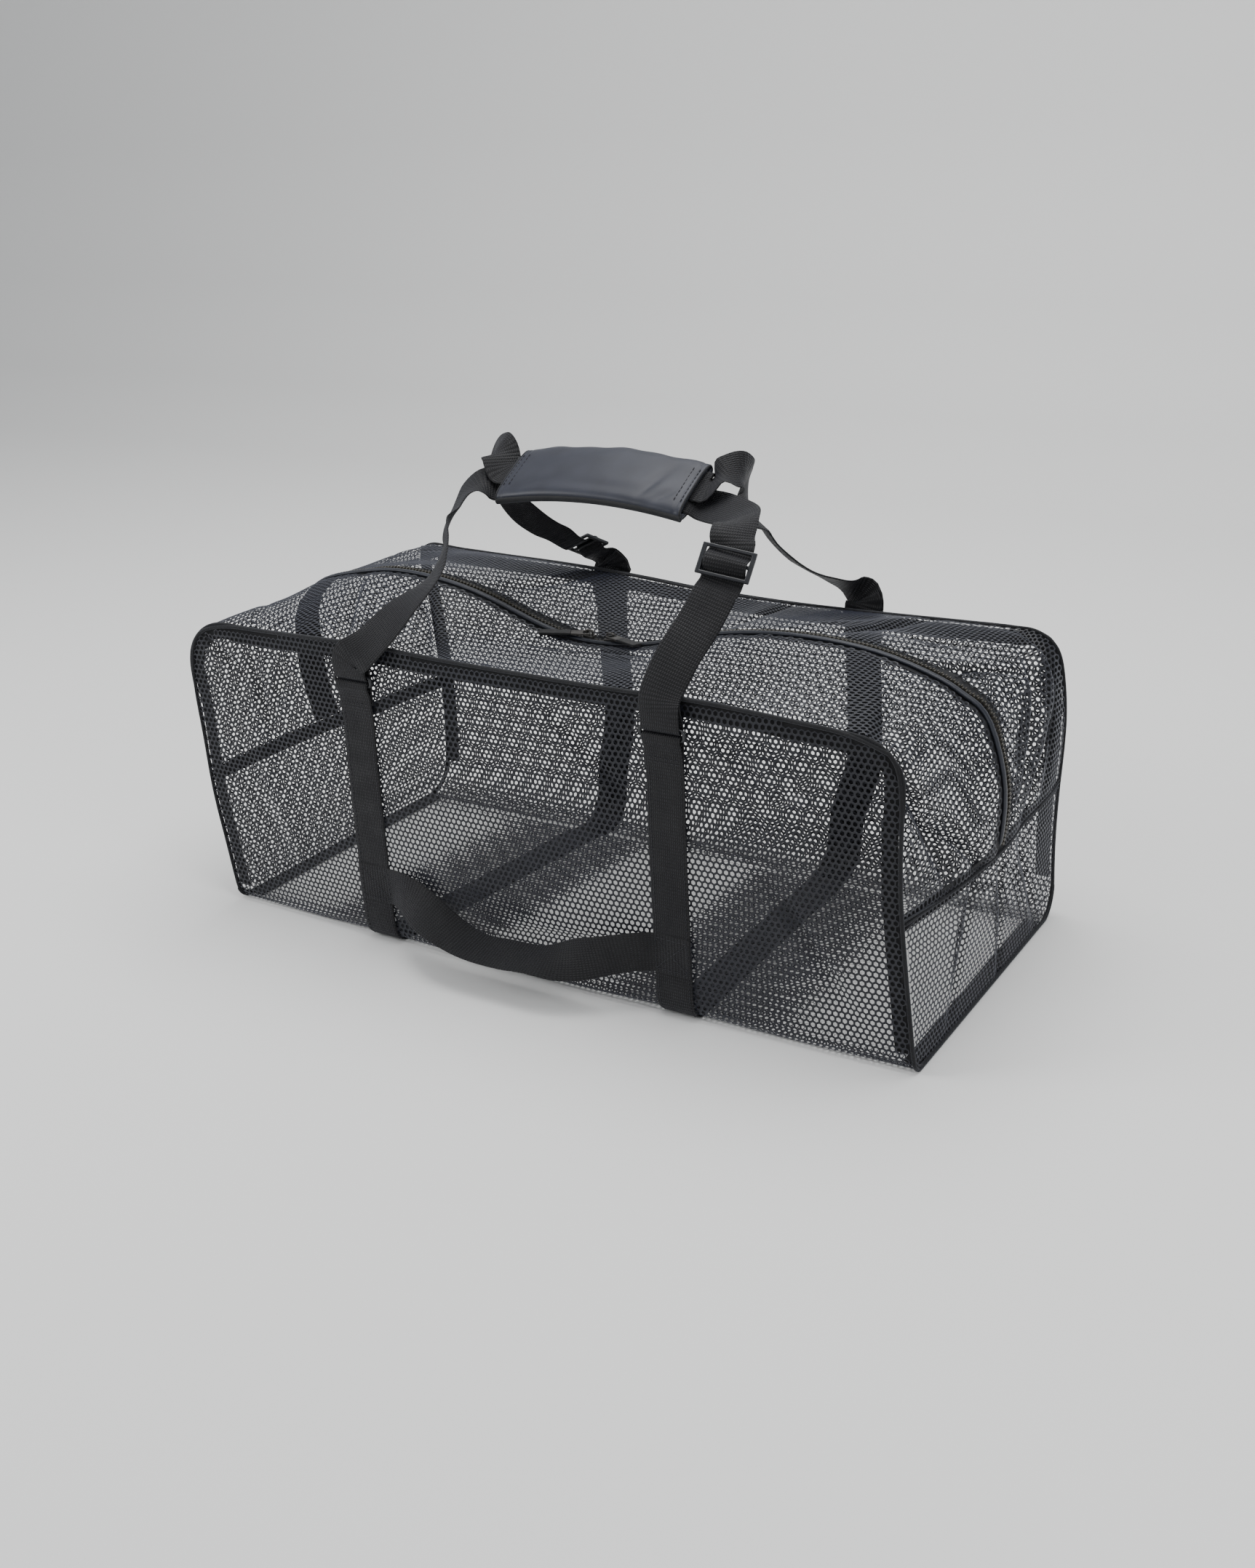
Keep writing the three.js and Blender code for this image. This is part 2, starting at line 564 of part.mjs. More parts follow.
const footRun = NET_WALL + GAP;
const endRows = [0, 0.025, 0.08, 0.16, 0.27, 0.5, 0.75, 1];
for (const [which, atRun] of [["right", (r) => r], ["left", (r) => RUN - r]]) {
  const runs = endRows.map((w) => atRun(lerp(footRun, MID_SEAM_Z - GAP / 2, w)));
  const columns = (r) => spread(stripEdge(FRONT, r), stripEdge(BACK, r), 2 * HALF_COLUMNS);
  add("end_panel_" + which, stripSheet(runs, columns), materials.net);
}

// Top panels run from the middle seam of one end to that of the other, either side of the zip
const topRuns = [
  ...spread(MID_SEAM_Z + GAP / 2, SIDE_RUN, 4),
  ...spread(SIDE_RUN, SIDE_RUN + ARC_RUN, 4).slice(1),
  ...spread(SIDE_RUN + ARC_RUN, RUN - SIDE_RUN - ARC_RUN, 21).slice(1),
  ...spread(RUN - SIDE_RUN - ARC_RUN, RUN - SIDE_RUN, 4).slice(1),
  ...spread(RUN - SIDE_RUN, RUN - MID_SEAM_Z - GAP / 2, 4).slice(1),
];
const pipingInner = CHAIN_W / 2 + PIPING_GAP;
const frontNetEdge = -(pipingInner + PIPING_W + GAP);
const topColumns = (side, r) => spread(stripEdge(side, r), 0, HALF_COLUMNS).slice(0, -1);
const overTape = ZIP_TAPE_W + NET_WALL;
const topFront = stripSheet(topRuns, (r) => [...topColumns(FRONT, r), -overTape, frontNetEdge]);
const topBack = stripSheet(topRuns, (r) => [ZIP_BACK_W, overTape, ...topColumns(BACK, r).reverse()]);
add("top_panel_front", topFront, materials.net);
add("top_panel_back", topBack, materials.net);

// Flat strips that follow the zip line: an outline in (y, height) carried along the run
function alongZip(outline, runs) {
  return loft(runs.map((run) => outline.map(([y, height]) => onStrip(run, y, height))));
}

function box2(y0, y1, h0, h1) {
  return [[y0, h0], [y1, h0], [y1, h1], [y0, h1]];
}

const midTapeHalf = TAPE_W / 2;
const zipStart = MID_SEAM_Z + midTapeHalf + GAP;
const zipRuns = topRuns.filter((r) => r > zipStart + PIPING_GAP && r < RUN - zipStart - PIPING_GAP);
zipRuns.unshift(zipStart);
zipRuns.push(RUN - zipStart);
const tapeTop = -NET_WALL - ZIP_GAP;
const tapeUnder = tapeTop - ZIP_TAPE_T;
const frontTape = box2(-ZIP_TAPE_W, -GAP / 2, tapeUnder, tapeTop);
const backTape = box2(GAP / 2, ZIP_TAPE_W, tapeUnder, tapeTop);
add("zip_tape_front", alongZip(frontTape, zipRuns), materials.binding);
add("zip_tape_back", alongZip(backTape, zipRuns), materials.binding);
const chainFoot = tapeTop + ZIP_GAP;
const chainTop = chainFoot + CHAIN_T;
const chain = box2(-CHAIN_W / 2, CHAIN_W / 2, chainFoot, chainTop);
add("zip_chain", alongZip(chain, zipRuns), materials.chain);

// Piping rolls over the front net's edge beside the chain
const pipingMid = -(pipingInner + PIPING_W / 2);
const pipingOutline = Array.from({ length: 8 }, (_, k) => {
  const a = (k / 8) * 2 * Math.PI;
  const height = tapeTop + ZIP_GAP + (PIPING_T / 2) * (1 + Math.sin(a));
  return [pipingMid + (PIPING_W / 2) * Math.cos(a), height];
});
add("zip_piping", alongZip(pipingOutline, zipRuns), materials.binding);

// Binding inside every seam
function seamTape(side) {
  const start = side.fold + TAPE_EDGE;
  const runs = [start, ...spread(MID_SEAM_Z / 2, SIDE_RUN, 4), ...topRuns.slice(5, -4)];
  runs.push(...spread(RUN - SIDE_RUN, RUN - MID_SEAM_Z / 2, 4).slice(1), RUN - start);
  const under = -NET_WALL - TAPE_GAP;
  return loft(runs.map((run) => {
    const edge = rail(side, run);
    const at = (inward, height) =>
      onPanel(side, edge.x - edge.nx * inward, edge.z - edge.nz * inward, height);
    const [near, far] = [TAPE_EDGE, TAPE_EDGE + TAPE_W];
    return [at(near, under), at(far, under), at(far, under - TAPE_T), at(near, under - TAPE_T)];
  }));
}

add("seam_tape_front", seamTape(FRONT), materials.binding);
add("seam_tape_back", seamTape(BACK), materials.binding);

function midTape(atRun) {
  const panelEdge = HALF_DEPTH - NET_WALL - GAP;
  const reach = panelEdge - TAPE_T - 2 * GAP;
  const within = (y) => THREE.MathUtils.clamp(y, -reach, reach);
  const ys = spread(-panelEdge, panelEdge, 2 * HALF_COLUMNS).map(within);
  const [near, far] = [atRun(MID_SEAM_Z - midTapeHalf), atRun(MID_SEAM_Z + midTapeHalf)];
  const top = -NET_WALL - TAPE_GAP;
  return loft(ys.map((y) => [
    onStrip(near, y, top),
    onStrip(far, y, top),
    onStrip(far, y, top - TAPE_T),
    onStrip(near, y, top - TAPE_T),
  ]));
}

function footTape(atRun) {
  const from = -HALF_DEPTH + FOLD_FRONT_R;
  const to = HALF_DEPTH - FOLD_BACK_R;
  const bottom = NET_WALL + GAP;
  return loft(spread(from, to, 6).map((y) => {
    const edge = stripPoint(atRun(0), y);
    const inward = -Math.sign(edge.x);
    const at = (reach, z) => new THREE.Vector3(edge.x + inward * reach, y, z);
    const [near, far] = [TAPE_EDGE, TAPE_EDGE + TAPE_W];
    return [at(near, bottom), at(far, bottom), at(far, bottom + TAPE_T), at(near, bottom + TAPE_T)];
  }));
}

for (const [which, atRun] of [["right", (r) => r], ["left", (r) => RUN - r]]) {
  add("mid_tape_" + which, midTape(atRun), materials.binding);
  add("foot_tape_" + which, footTape(atRun), materials.binding);
}

// Body straps: each runs from its front ring under the bag to its back ring
const strapHeight = STRAP_GAP + WEBBING_T / 2;
const loopR = RING_BAR_R + WEBBING_T / 2 + 2 * GAP;
const ringHeight = strapHeight + loopR;
const alongX = new THREE.Vector3(1, 0, 0);

// Heights off the panel and levels above the ring's lower bar, from the tail up, over it and down.
function loopPlaces(turn) {
  const places = [1, 1 / 3].map((share) => ({ height: strapHeight, up: -TAIL * turn * share }));
  for (const a of spread(Math.PI, 0, 4)) {
    places.push({ height: ringHeight + loopR * Math.cos(a), up: turn * loopR * Math.sin(a) });
  }
  return places;
}

function strapPath(which) {
  const path = [];
  const put = (at) => path.push({ at, across: alongX });
  const frontX = STRAP_FRONT_X[which];
  const frontBar = RING_Z.front - RING_SPREAD / 2;
  const backBar = RING_Z.back - RING_SPREAD / 2;
  const layered = strapHeight + WEBBING_T + GAP;
  for (const p of loopPlaces(1)) put(onPanel(FRONT, frontX, frontBar + p.up, p.height));
  put(onPanel(FRONT, frontX, frontBar - TAIL / 2, layered + TAIL_RISE));
  put(onPanel(FRONT, frontX, frontBar - TAIL, layered));
  const lift = WEBBING_T + STRAP_GAP;
  const fold = FRONT.fold + lift;
  for (const z of spread(frontBar - 2 * TAIL, fold, 6)) put(onPanel(FRONT, frontX, z, strapHeight));
  const foldPath = (side, angles, x) => {
    const bend = side.fold + strapHeight;
    const outward = panelDepth(side, x, side.fold);
    for (const a of angles) {
      const y = side.sign * (HALF_DEPTH + outward - side.fold + bend * Math.cos(a));
      put(new THREE.Vector3(x, y, side.fold + lift - bend * Math.sin(a)));
    }
  };
  foldPath(FRONT, spread(0, Math.PI / 2, 4).slice(1), frontX);
  const floor = WEBBING_T / 2;
  for (const y of spread(-HALF_DEPTH + 2 * FRONT.fold, HALF_DEPTH - 1.4 * BACK.fold, 4)) {
    put(new THREE.Vector3(footX(which, y), y, floor));
  }
  foldPath(BACK, spread(Math.PI / 2, 0, 6), STRAP_FOOT_X[which]);
  const backFold = BACK.fold + lift;
  for (const z of spread(backFold, backBar - 2 * TAIL, 7).slice(1)) {
    put(onPanel(BACK, strapX(BACK, which, z), z, strapHeight));
  }
  const topX = STRAP_BACK_X[which];
  put(onPanel(BACK, topX, backBar - TAIL, layered));
  put(onPanel(BACK, topX, backBar - TAIL / 2, layered + TAIL_RISE));
  for (const p of loopPlaces(1).reverse()) put(onPanel(BACK, topX, backBar + p.up, p.height));
  return path;
}

for (const which of ["left", "right"]) {
  add("body_strap_" + which, webbing(strapPath(which)), materials.webbing);
}

// Rectangular rings between the straps and the handles
function ringPlace(side, which, up, height) {
  const x = side === FRONT ? STRAP_FRONT_X[which] : STRAP_BACK_X[which];
  const z = side === FRONT ? RING_Z.front : RING_Z.back;
  const depth = panelDepth(side, x, z - RING_SPREAD / 2);
  return new THREE.Vector3(x, side.sign * (HALF_DEPTH + depth + height), z + up);
}

function ring(side, which) {
  const centre = ringPlace(side, which, 0, ringHeight);
  const halfX = WEBBING_W / 2 + RING_SIDE_GAP + RING_BAR_R;
  const halfZ = RING_SPREAD / 2;
  const cut = RING_CHAMFER;
  const corners = [
    [halfX, halfZ - cut], [halfX - cut, halfZ], [-halfX + cut, halfZ], [-halfX, halfZ - cut],
    [-halfX, -halfZ + cut], [-halfX + cut, -halfZ], [halfX - cut, -halfZ], [halfX, -halfZ + cut],
  ];
  const sections = corners.map(([x, z], i) => {
    const [px, pz] = corners[(i + 7) % 8];
    const [nx, nz] = corners[(i + 1) % 8];
    const outward = new THREE.Vector3(nz - pz, 0, px - nx).normalize().negate();
    return Array.from({ length: 8 }, (_, k) => {
      const a = (k / 8) * 2 * Math.PI;
      const at = centre.clone().add(new THREE.Vector3(x, 0, z));
      at.addScaledVector(outward, RING_BAR_R * Math.cos(a));
      at.y += RING_BAR_R * Math.sin(a);
      return at;
    });
  });
  return loft(sections, true);
}

for (const which of ["left", "right"]) {
  add("ring_front_" + which, ring(FRONT, which), materials.plastic);
  add("ring_back_" + which, ring(BACK, which), materials.plastic);
}

// A place inside the grip: along -1 to 1, across its width and up through its thickness
function gripPoint(along, across, up) {
  const x = GRIP_X + (along * GRIP_LENGTH) / 2;
  const z = HEIGHT + GRIP_RISE + GRIP_ARCH * (1 - along * along);
  const [c, s] = [Math.cos(GRIP_TILT), Math.sin(GRIP_TILT)];
  return new THREE.Vector3(x, across * c - up * s, z + across * s + up * c);
}

const gripAcross = new THREE.Vector3(0, Math.cos(GRIP_TILT), Math.sin(GRIP_TILT));
const layerUp = (WEBBING_T + GAP) / 2 + GAP / 2;

function smooth(points) {
  return new THREE.CatmullRomCurve3(points, false, "catmullrom", 0.5);
}

// One leg of a handle as a smooth curve with its width direction.
function legCurve(side, which) {
  const end = which === "left" ? -1 : 1;
  const start = ringPlace(side, which, RING_SPREAD / 2 + loopR, ringHeight + loopR);
  const grip = gripPoint(end, side.sign * GRIP_SHIFT, side.sign * layerUp);
  const rows = HANDLE_LEGS[side.column + "_" + which];
  const places = rows.map((r) => new THREE.Vector3(
    lerp(start.x, grip.x, r.up) + r.out * LENGTH,
    lerp(start.y, grip.y, r.back),
    lerp(start.z, grip.z, r.up),
  ));
  const widths = rows.map((r) => new THREE.Vector3(r.wx, r.wy, r.wz).normalize());
  const last = widths[widths.length - 1];
  const gripWidth = gripAcross.clone().multiplyScalar(Math.sign(last.dot(gripAcross)));
  const above = start.clone().add(new THREE.Vector3(0, 0, LEG_STRAIGHT));
  const beside = gripPoint(end * GRIP_ENTRY, side.sign * GRIP_SHIFT, 3 * side.sign * layerUp);
  const path = smooth([start, above, ...places, beside, grip]);
  const across = smooth([alongX, alongX, ...widths, gripWidth, gripWidth]);
  const frame = (t) => {
    const tangent = path.getTangent(t);
    const wide = across.getPoint(t);
    wide.addScaledVector(tangent, -wide.dot(tangent)).normalize();
    return { at: path.getPoint(t), tangent, across: wide, face: tangent.clone().cross(wide) };
  };
  return { start, frame };
}

// The adjuster's place on a leg, and the webbing's weave through it: behind, in front, behind.
function glideFrame(side, which) {
  const share = GLIDE_AT[side.column + "_" + which];
  return share === undefined ? null : legCurve(side, which).frame(share);
}

const LEG_STEPS = 27;
const GLIDE_CLEAR = GLIDE_SPREAD + 2 * GLIDE_BAR;
// The webbing through an adjuster: steps along it in bar spacings, heights as shares of GLIDE_WEAVE
const WEAVE = [
  { step: -1.45, height: -0.9 },
  { step: -1, height: -1 },
  { step: 0, height: 1 },
  { step: 1, height: -1 },
  { step: 1.45, height: -0.9 },
];

function legPath(side, which) {
  const leg = legCurve(side, which);
  const glide = glideFrame(side, which);
  const path = [];
  let woven = false;
  for (const t of spread(0, 1, LEG_STEPS)) {
    const f = leg.frame(t);
    if (glide && f.at.distanceTo(glide.at) < GLIDE_CLEAR + GLIDE_BAR) {
      const weave = woven ? [] : WEAVE;
      for (const { step, height } of weave) {
        const at = glide.at.clone().addScaledVector(glide.tangent, step * GLIDE_SPREAD);
        at.addScaledVector(glide.face, side.sign * height * GLIDE_WEAVE);
        path.push({ at, across: glide.across });
      }
      woven = true;
    } else {
      path.push({ at: f.at, across: f.across });
    }
  }
  return path;
}

// The tail behind the ring: a short one, or doubled up to the adjuster.
function tailPath(side, which) {
  const leg = legCurve(side, which);
  const glide = glideFrame(side, which);
  const path = [];
  const inward = -side.sign;
  const layer = WEBBING_T + GAP;
  for (const t of spread(0, 1, 2 * LEG_STEPS)) {
    const f = leg.frame(t);
    const gone = f.at.distanceTo(leg.start);
    const stop = glide ? f.at.distanceTo(glide.at) < 1.4 * GLIDE_CLEAR : gone > HANDLE_TAIL;
    if (stop) break;
    const apart = lerp(2 * loopR, layer, THREE.MathUtils.smoothstep(gone, 0, TAIL));
    const face = f.face.clone();
    if (face.y * inward < 0) face.negate();
    path.push({ at: f.at.clone().addScaledVector(face, apart), across: f.across });
  }
  return path.reverse();
}

function ringTurn(side, which) {
  const places = loopPlaces(-1).slice(2);
  return places.map((p) => ({
    at: ringPlace(side, which, RING_SPREAD / 2 + p.up, p.height),
    across: alongX,
  }));
}

function handlePath(side) {
  const gripRun = spread(-1, 1, 8).slice(1, -1).map((along) => ({
    at: gripPoint(along, side.sign * GRIP_SHIFT, side.sign * layerUp),
    across: gripAcross,
  }));
  const half = (which) => [...tailPath(side, which), ...ringTurn(side, which), ...legPath(side, which)];
  const path = [...half("left"), ...gripRun, ...half("right").reverse()];
  path.forEach((place, i) => {
    place.across = place.across.clone();
    if (i > 0 && place.across.dot(path[i - 1].across) < 0) place.across.negate();
  });
  return path;
}

add("handle_front", webbing(handlePath(FRONT)), materials.webbing);
add("handle_back", webbing(handlePath(BACK)), materials.webbing);

// Three-bar adjusters on two of the legs
function glideSolid(side, which) {
  const frame = glideFrame(side, which);
  const halfW = WEBBING_W / 2 + RING_SIDE_GAP + GLIDE_SIDE;
  const halfL = GLIDE_SPREAD + GLIDE_BAR / 2;
  const plate = new THREE.Shape();
  plate.moveTo(-halfW, -halfL).lineTo(halfW, -halfL).lineTo(halfW, halfL).lineTo(-halfW, halfL);
  for (const at of [-0.5, 0.5]) {
    const middle = at * GLIDE_SPREAD;
    const reach = (GLIDE_SPREAD - GLIDE_BAR) / 2;
    const side2 = halfW - GLIDE_SIDE;
    const slot = new THREE.Path();
    slot.moveTo(-side2, middle - reach).lineTo(-side2, middle + reach);
    slot.lineTo(side2, middle + reach).lineTo(side2, middle - reach);
    plate.holes.push(slot);
  }
  const geometry = new THREE.ExtrudeGeometry(plate, { depth: GLIDE_BAR, bevelEnabled: false });
  geometry.translate(0, 0, -GLIDE_BAR / 2);
  const z = frame.across.clone().cross(frame.tangent).normalize();
  const basis = new THREE.Matrix4().makeBasis(frame.across, frame.tangent, z);
  geometry.applyMatrix4(basis.setPosition(frame.at));
  return geometry;
}

add("adjuster_front", glideSolid(FRONT, "right"), materials.plastic);
add("adjuster_back", glideSolid(BACK, "left"), materials.plastic);

// The padded grip: a flat sleeve with a slot for the two handles
function gripSolid() {
  const count = 14;
  const loop = (along, width, thick, round) => Array.from({ length: count }, (_, k) => {
    const a = (k / count) * 2 * Math.PI + Math.PI / count;
    const across = Math.sign(Math.cos(a)) * Math.abs(Math.cos(a)) ** round * (width / 2);
    const up = Math.sign(Math.sin(a)) * Math.abs(Math.sin(a)) ** round * (thick / 2);
    return gripPoint(along, across, up);
  });
  const alongs = spread(-1, 1, 8);
  const outer = alongs.map((a) => loop(a, GRIP_WIDTH, GRIP_THICK * (1 - 0.08 * a * a), 0.55));
  const innerT = GRIP_THICK - 2 * GRIP_WALL;
  const inner = alongs.map((a) => loop(a, GRIP_WIDTH - 2 * GRIP_WALL, innerT, 0.3));
  const points = [...outer.flat(), ...inner.flat()];
  const size = count * alongs.length;
  const faces = [];
  const quad = (a, b, c, d) => faces.push([a, b, c], [a, c, d]);
  for (let i = 0; i < alongs.length; i += 1) {
    for (let k = 0; k < count; k += 1) {
      const k2 = (k + 1) % count;
      const [a, b] = [i * count + k, i * count + k2];
      if (i < alongs.length - 1) {
        quad(a, b, b + count, a + count);
        quad(size + b, size + a, size + a + count, size + b + count);
      }
      if (i === 0) quad(b, a, size + a, size + b);
      if (i === alongs.length - 1) quad(a, b, size + b, size + a);
    }
  }
  return closed(points, faces);
}

add("grip_wrap", gripSolid(), materials.grip);

// The low handle, stitched flat on both front straps and hanging slack between them
function lowHandlePath() {
  const patch = WEBBING_W / 2;
  const onStrap = strapHeight + WEBBING_T + GAP;
  const place = (along, extra) => {
    const at = (column) => readTable(LOW_HANDLE, column, along);
    const x = lerp(STRAP_FRONT_X.left, STRAP_FRONT_X.right, along) + extra;
    const z = LOW_HANDLE_Z - at("drop") * LOW_HANDLE_DROP;
    const lean = onPanel(FRONT, x, z + patch, 0).sub(onPanel(FRONT, x, z - patch, 0));
    const tilt = THREE.MathUtils.degToRad(at("tilt")) + Math.atan2(lean.y, lean.z);
    const across = new THREE.Vector3(0, Math.sin(tilt), Math.cos(tilt));
    return { at: onPanel(FRONT, x, z, onStrap + at("reach") * LOW_HANDLE_REACH), across };
  };
  const [from, to] = [LOW_HANDLE[0].along, LOW_HANDLE[LOW_HANDLE.length - 1].along];
  const middle = spread(from, to, 24).map((along) => place(along, 0));
  const ahead = [-WEBBING_W, -patch].map((extra) => place(from, extra));
  return [...ahead, ...middle, place(to, patch), place(to, WEBBING_W)];
}

add("low_handle", webbing(lowHandlePath()), materials.webbing);

// Zip sliders: a plate over the chain with a bail, and a pull that swings in the bail
function runAtX(x) {
  return RUN / 2 - x;
}

function toManifold(geometry) {
  const plain = geometry.clone();
  plain.deleteAttribute("normal");
  plain.deleteAttribute("uv");
  const merged = mergeVertices(plain, 1e-4);
  const triVerts = new Uint32Array(merged.index.array);
  const vertProperties = merged.attributes.position.array;
  return new wasm.Manifold(new wasm.Mesh({ numProp: 3, vertProperties, triVerts }));
}

function fromManifold(solid) {
  const mesh = solid.getMesh();
  const geometry = new THREE.BufferGeometry();
  geometry.setAttribute("position", new THREE.BufferAttribute(new Float32Array(mesh.vertProperties), 3));
  geometry.setIndex(Array.from(mesh.triVerts));
  return geometry;
}

const sliderFoot = chainTop + GAP;
const eyeHeight = sliderFoot + SLIDER_T + (BAIL_H - BAIL_WIRE) / 2;

// The slider's own axes: x along the zip towards +X, y across it, z off the net. It sits on one flat
// stretch of the chain.
function sliderBasis(which) {
  const run = runAtX(SLIDER_X[which]);
  const after = topRuns.findIndex((r) => r > run);
  const [near, far] = [topRuns[after - 1], topRuns[after]];
  const at = onStrip(near, 0, 0).lerp(onStrip(far, 0, 0), (run - near) / (far - near));
  const x = stripPoint(near, 0).sub(stripPoint(far, 0)).normalize();
  const y = stripNormal(run, 0).cross(x).normalize();
  const z = x.clone().cross(y);
  return new THREE.Matrix4().makeBasis(x, y, z).setPosition(at);
}

function sliderSolid(which) {
  const plate = new THREE.BoxGeometry(SLIDER_L, SLIDER_W, SLIDER_T);
  plate.translate(0, 0, sliderFoot + SLIDER_T / 2);
  const bail = new THREE.Shape();
  const sink = SLIDER_T / 2;
  const [half, cut] = [BAIL_L / 2, BAIL_WIRE];
  bail.moveTo(-half, -sink).lineTo(half, -sink).lineTo(half, BAIL_H - cut).lineTo(half - cut, BAIL_H);
  bail.lineTo(-half + cut, BAIL_H).lineTo(-half, BAIL_H - cut);
  const eye = new THREE.Path();
  const [inHalf, top] = [half - BAIL_WIRE, BAIL_H - BAIL_WIRE];
  eye.moveTo(-inHalf, 0).lineTo(-inHalf, top).lineTo(inHalf, top).lineTo(inHalf, 0);
  bail.holes.push(eye);
  const arch = new THREE.ExtrudeGeometry(bail, { depth: BAIL_T, bevelEnabled: false });
  arch.rotateX(Math.PI / 2);
  arch.translate(0, BAIL_T / 2, sliderFoot + SLIDER_T);
  const joined = fromManifold(toManifold(plate).add(toManifold(arch)));
  return joined.applyMatrix4(sliderBasis(which));
}

// The pull's own axes: x from its hinge outwards, y along the hinge, z off the net.
function pullBasis(which) {
  const away = which === "left" ? Math.PI : 0;
  const turn = away + (which === "left" ? PULL_TURN.left : -PULL_TURN.right);
  const place = new THREE.Matrix4().makeTranslation(0, 0, eyeHeight);
  place.multiply(new THREE.Matrix4().makeRotationZ(turn));
  place.multiply(new THREE.Matrix4().makeRotationY(PULL_DIP[which]));
  return sliderBasis(which).multiply(place);
}

function pullSolid(which) {
  const outline = new THREE.Shape();
  const back = PULL_T / 2;
  const half = PULL_W / 2;
  outline.moveTo(-back, -half).lineTo(PULL_L, -half * 0.85).lineTo(PULL_L, half * 0.85).lineTo(-back, half);
  const eye = new THREE.Path();
  const [from, to] = [PULL_T / 2, PULL_T / 2 + PULL_EYE_L];
  eye.moveTo(from, -PULL_EYE_W / 2).lineTo(from, PULL_EYE_W / 2);
  eye.lineTo(to, PULL_EYE_W / 2).lineTo(to, -PULL_EYE_W / 2);
  outline.holes.push(eye);
  const geometry = new THREE.ExtrudeGeometry(outline, { depth: PULL_T, bevelEnabled: false });
  geometry.translate(0, 0, -PULL_T / 2);
  return geometry.applyMatrix4(pullBasis(which));
}

function tabSolid(which) {
  const geometry = new THREE.BoxGeometry(TAB_L, TAB_W, TAB_T);
  geometry.translate(PULL_L + GAP + TAB_L / 2, 0, 0);
  return geometry.applyMatrix4(pullBasis(which));
}

for (const which of ["left", "right"]) {
  add("slider_" + which, sliderSolid(which), materials.slider);
  add("pull_" + which, pullSolid(which), materials.slider);
  add("tab_" + which, tabSolid(which), materials.plastic);
}

export default bag;
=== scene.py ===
# %% [markdown]
# A mesh dive gear bag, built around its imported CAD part. The real bag is a long box of coarse knitted net,
# held by webbing straps, with a zip along the top and two handles joined by a padded grip.
# This lesson starts with the camera, then makes the net, the webbing, the zip, the grip and the hardware,
# and ends with the floor and the lights. All lengths are metres, in the part's own frame.

# %% Load the part and note its size
import math

import bmesh
import bpy
import numpy as np
from mathutils import Matrix, Vector


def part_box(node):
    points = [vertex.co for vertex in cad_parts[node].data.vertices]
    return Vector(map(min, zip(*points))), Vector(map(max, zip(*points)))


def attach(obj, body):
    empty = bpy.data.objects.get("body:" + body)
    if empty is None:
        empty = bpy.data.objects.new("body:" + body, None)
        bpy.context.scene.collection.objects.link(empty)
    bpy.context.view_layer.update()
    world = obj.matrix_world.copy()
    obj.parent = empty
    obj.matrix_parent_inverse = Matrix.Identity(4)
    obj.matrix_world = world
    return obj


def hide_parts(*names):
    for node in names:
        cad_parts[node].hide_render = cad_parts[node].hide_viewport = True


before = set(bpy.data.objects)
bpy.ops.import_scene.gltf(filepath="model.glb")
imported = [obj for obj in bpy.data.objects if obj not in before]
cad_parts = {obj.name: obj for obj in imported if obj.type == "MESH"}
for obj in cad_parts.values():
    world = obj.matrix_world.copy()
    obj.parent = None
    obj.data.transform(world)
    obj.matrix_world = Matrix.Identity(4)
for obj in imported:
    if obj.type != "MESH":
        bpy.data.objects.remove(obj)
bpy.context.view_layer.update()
MM = 0.001

# %% [markdown]
# The camera stands in front of the right end, a little above the grip, and looks down on the bag.
# Its three axes are written out instead of angles, because they were solved together with its place.

# %% Camera
CAMERA_AT = Vector((0.92727, -1.36275, 0.80413))
CAMERA_RIGHT = Vector((0.83869, 0.54152, -0.05786))
CAMERA_UP = Vector((-0.16035, 0.34708, 0.92403))
LENS_MM = 41.87
SENSOR_MM = 36

camera_data = bpy.data.cameras.new("camera")
camera_data.lens = LENS_MM
camera_data.sensor_width = SENSOR_MM
camera = bpy.data.objects.new("camera", camera_data)
bpy.context.scene.collection.objects.link(camera)
back = CAMERA_RIGHT.cross(CAMERA_UP).normalized()
turn = Matrix((CAMERA_RIGHT, CAMERA_UP, back)).transposed().to_4x4()
camera.matrix_world = Matrix.Translation(CAMERA_AT) @ turn
bpy.context.scene.camera = camera
print("camera", [round(x, 3) for x in camera.location])

# %% [markdown]
# Small helpers. A piece's mesh is made in place, so its object stays at the origin, unturned and unscaled.

# %% Helpers for meshes
def link(obj):
    bpy.context.scene.collection.objects.link(obj)
    return obj


def shade(mesh, smooth):
    if smooth:
        mesh.shade_smooth()
    else:
        mesh.shade_flat()


def add_uv(mesh, name, values):
    """A UV map from one pair of numbers for each vertex."""
    layer = mesh.uv_layers.new(name=name)
    corner = np.zeros(len(mesh.loops), np.int32)
    mesh.loops.foreach_get("vertex_index", corner)
    layer.data.foreach_set("uv", np.asarray(values, np.float32)[corner].ravel())


def make_object(name, points, faces, uv=None, smooth=True):
    mesh = bpy.data.meshes.new(name)
    mesh.from_pydata([tuple(p) for p in points], [], [tuple(f) for f in faces])
    if uv is not None:
        add_uv(mesh, "along", uv)
    shade(mesh, smooth)
    mesh.update()
    return link(bpy.data.objects.new(name, mesh))


def opened(mesh):
    form = bmesh.new()
    form.from_mesh(mesh)
    return form


def written(form, mesh):
    form.to_mesh(mesh)
    form.free()


def turned_outwards(obj):
    """The same object with every face turned to its outside."""
    form = opened(obj.data)
    bmesh.ops.recalc_face_normals(form, faces=form.faces)
    written(form, obj.data)
    return obj


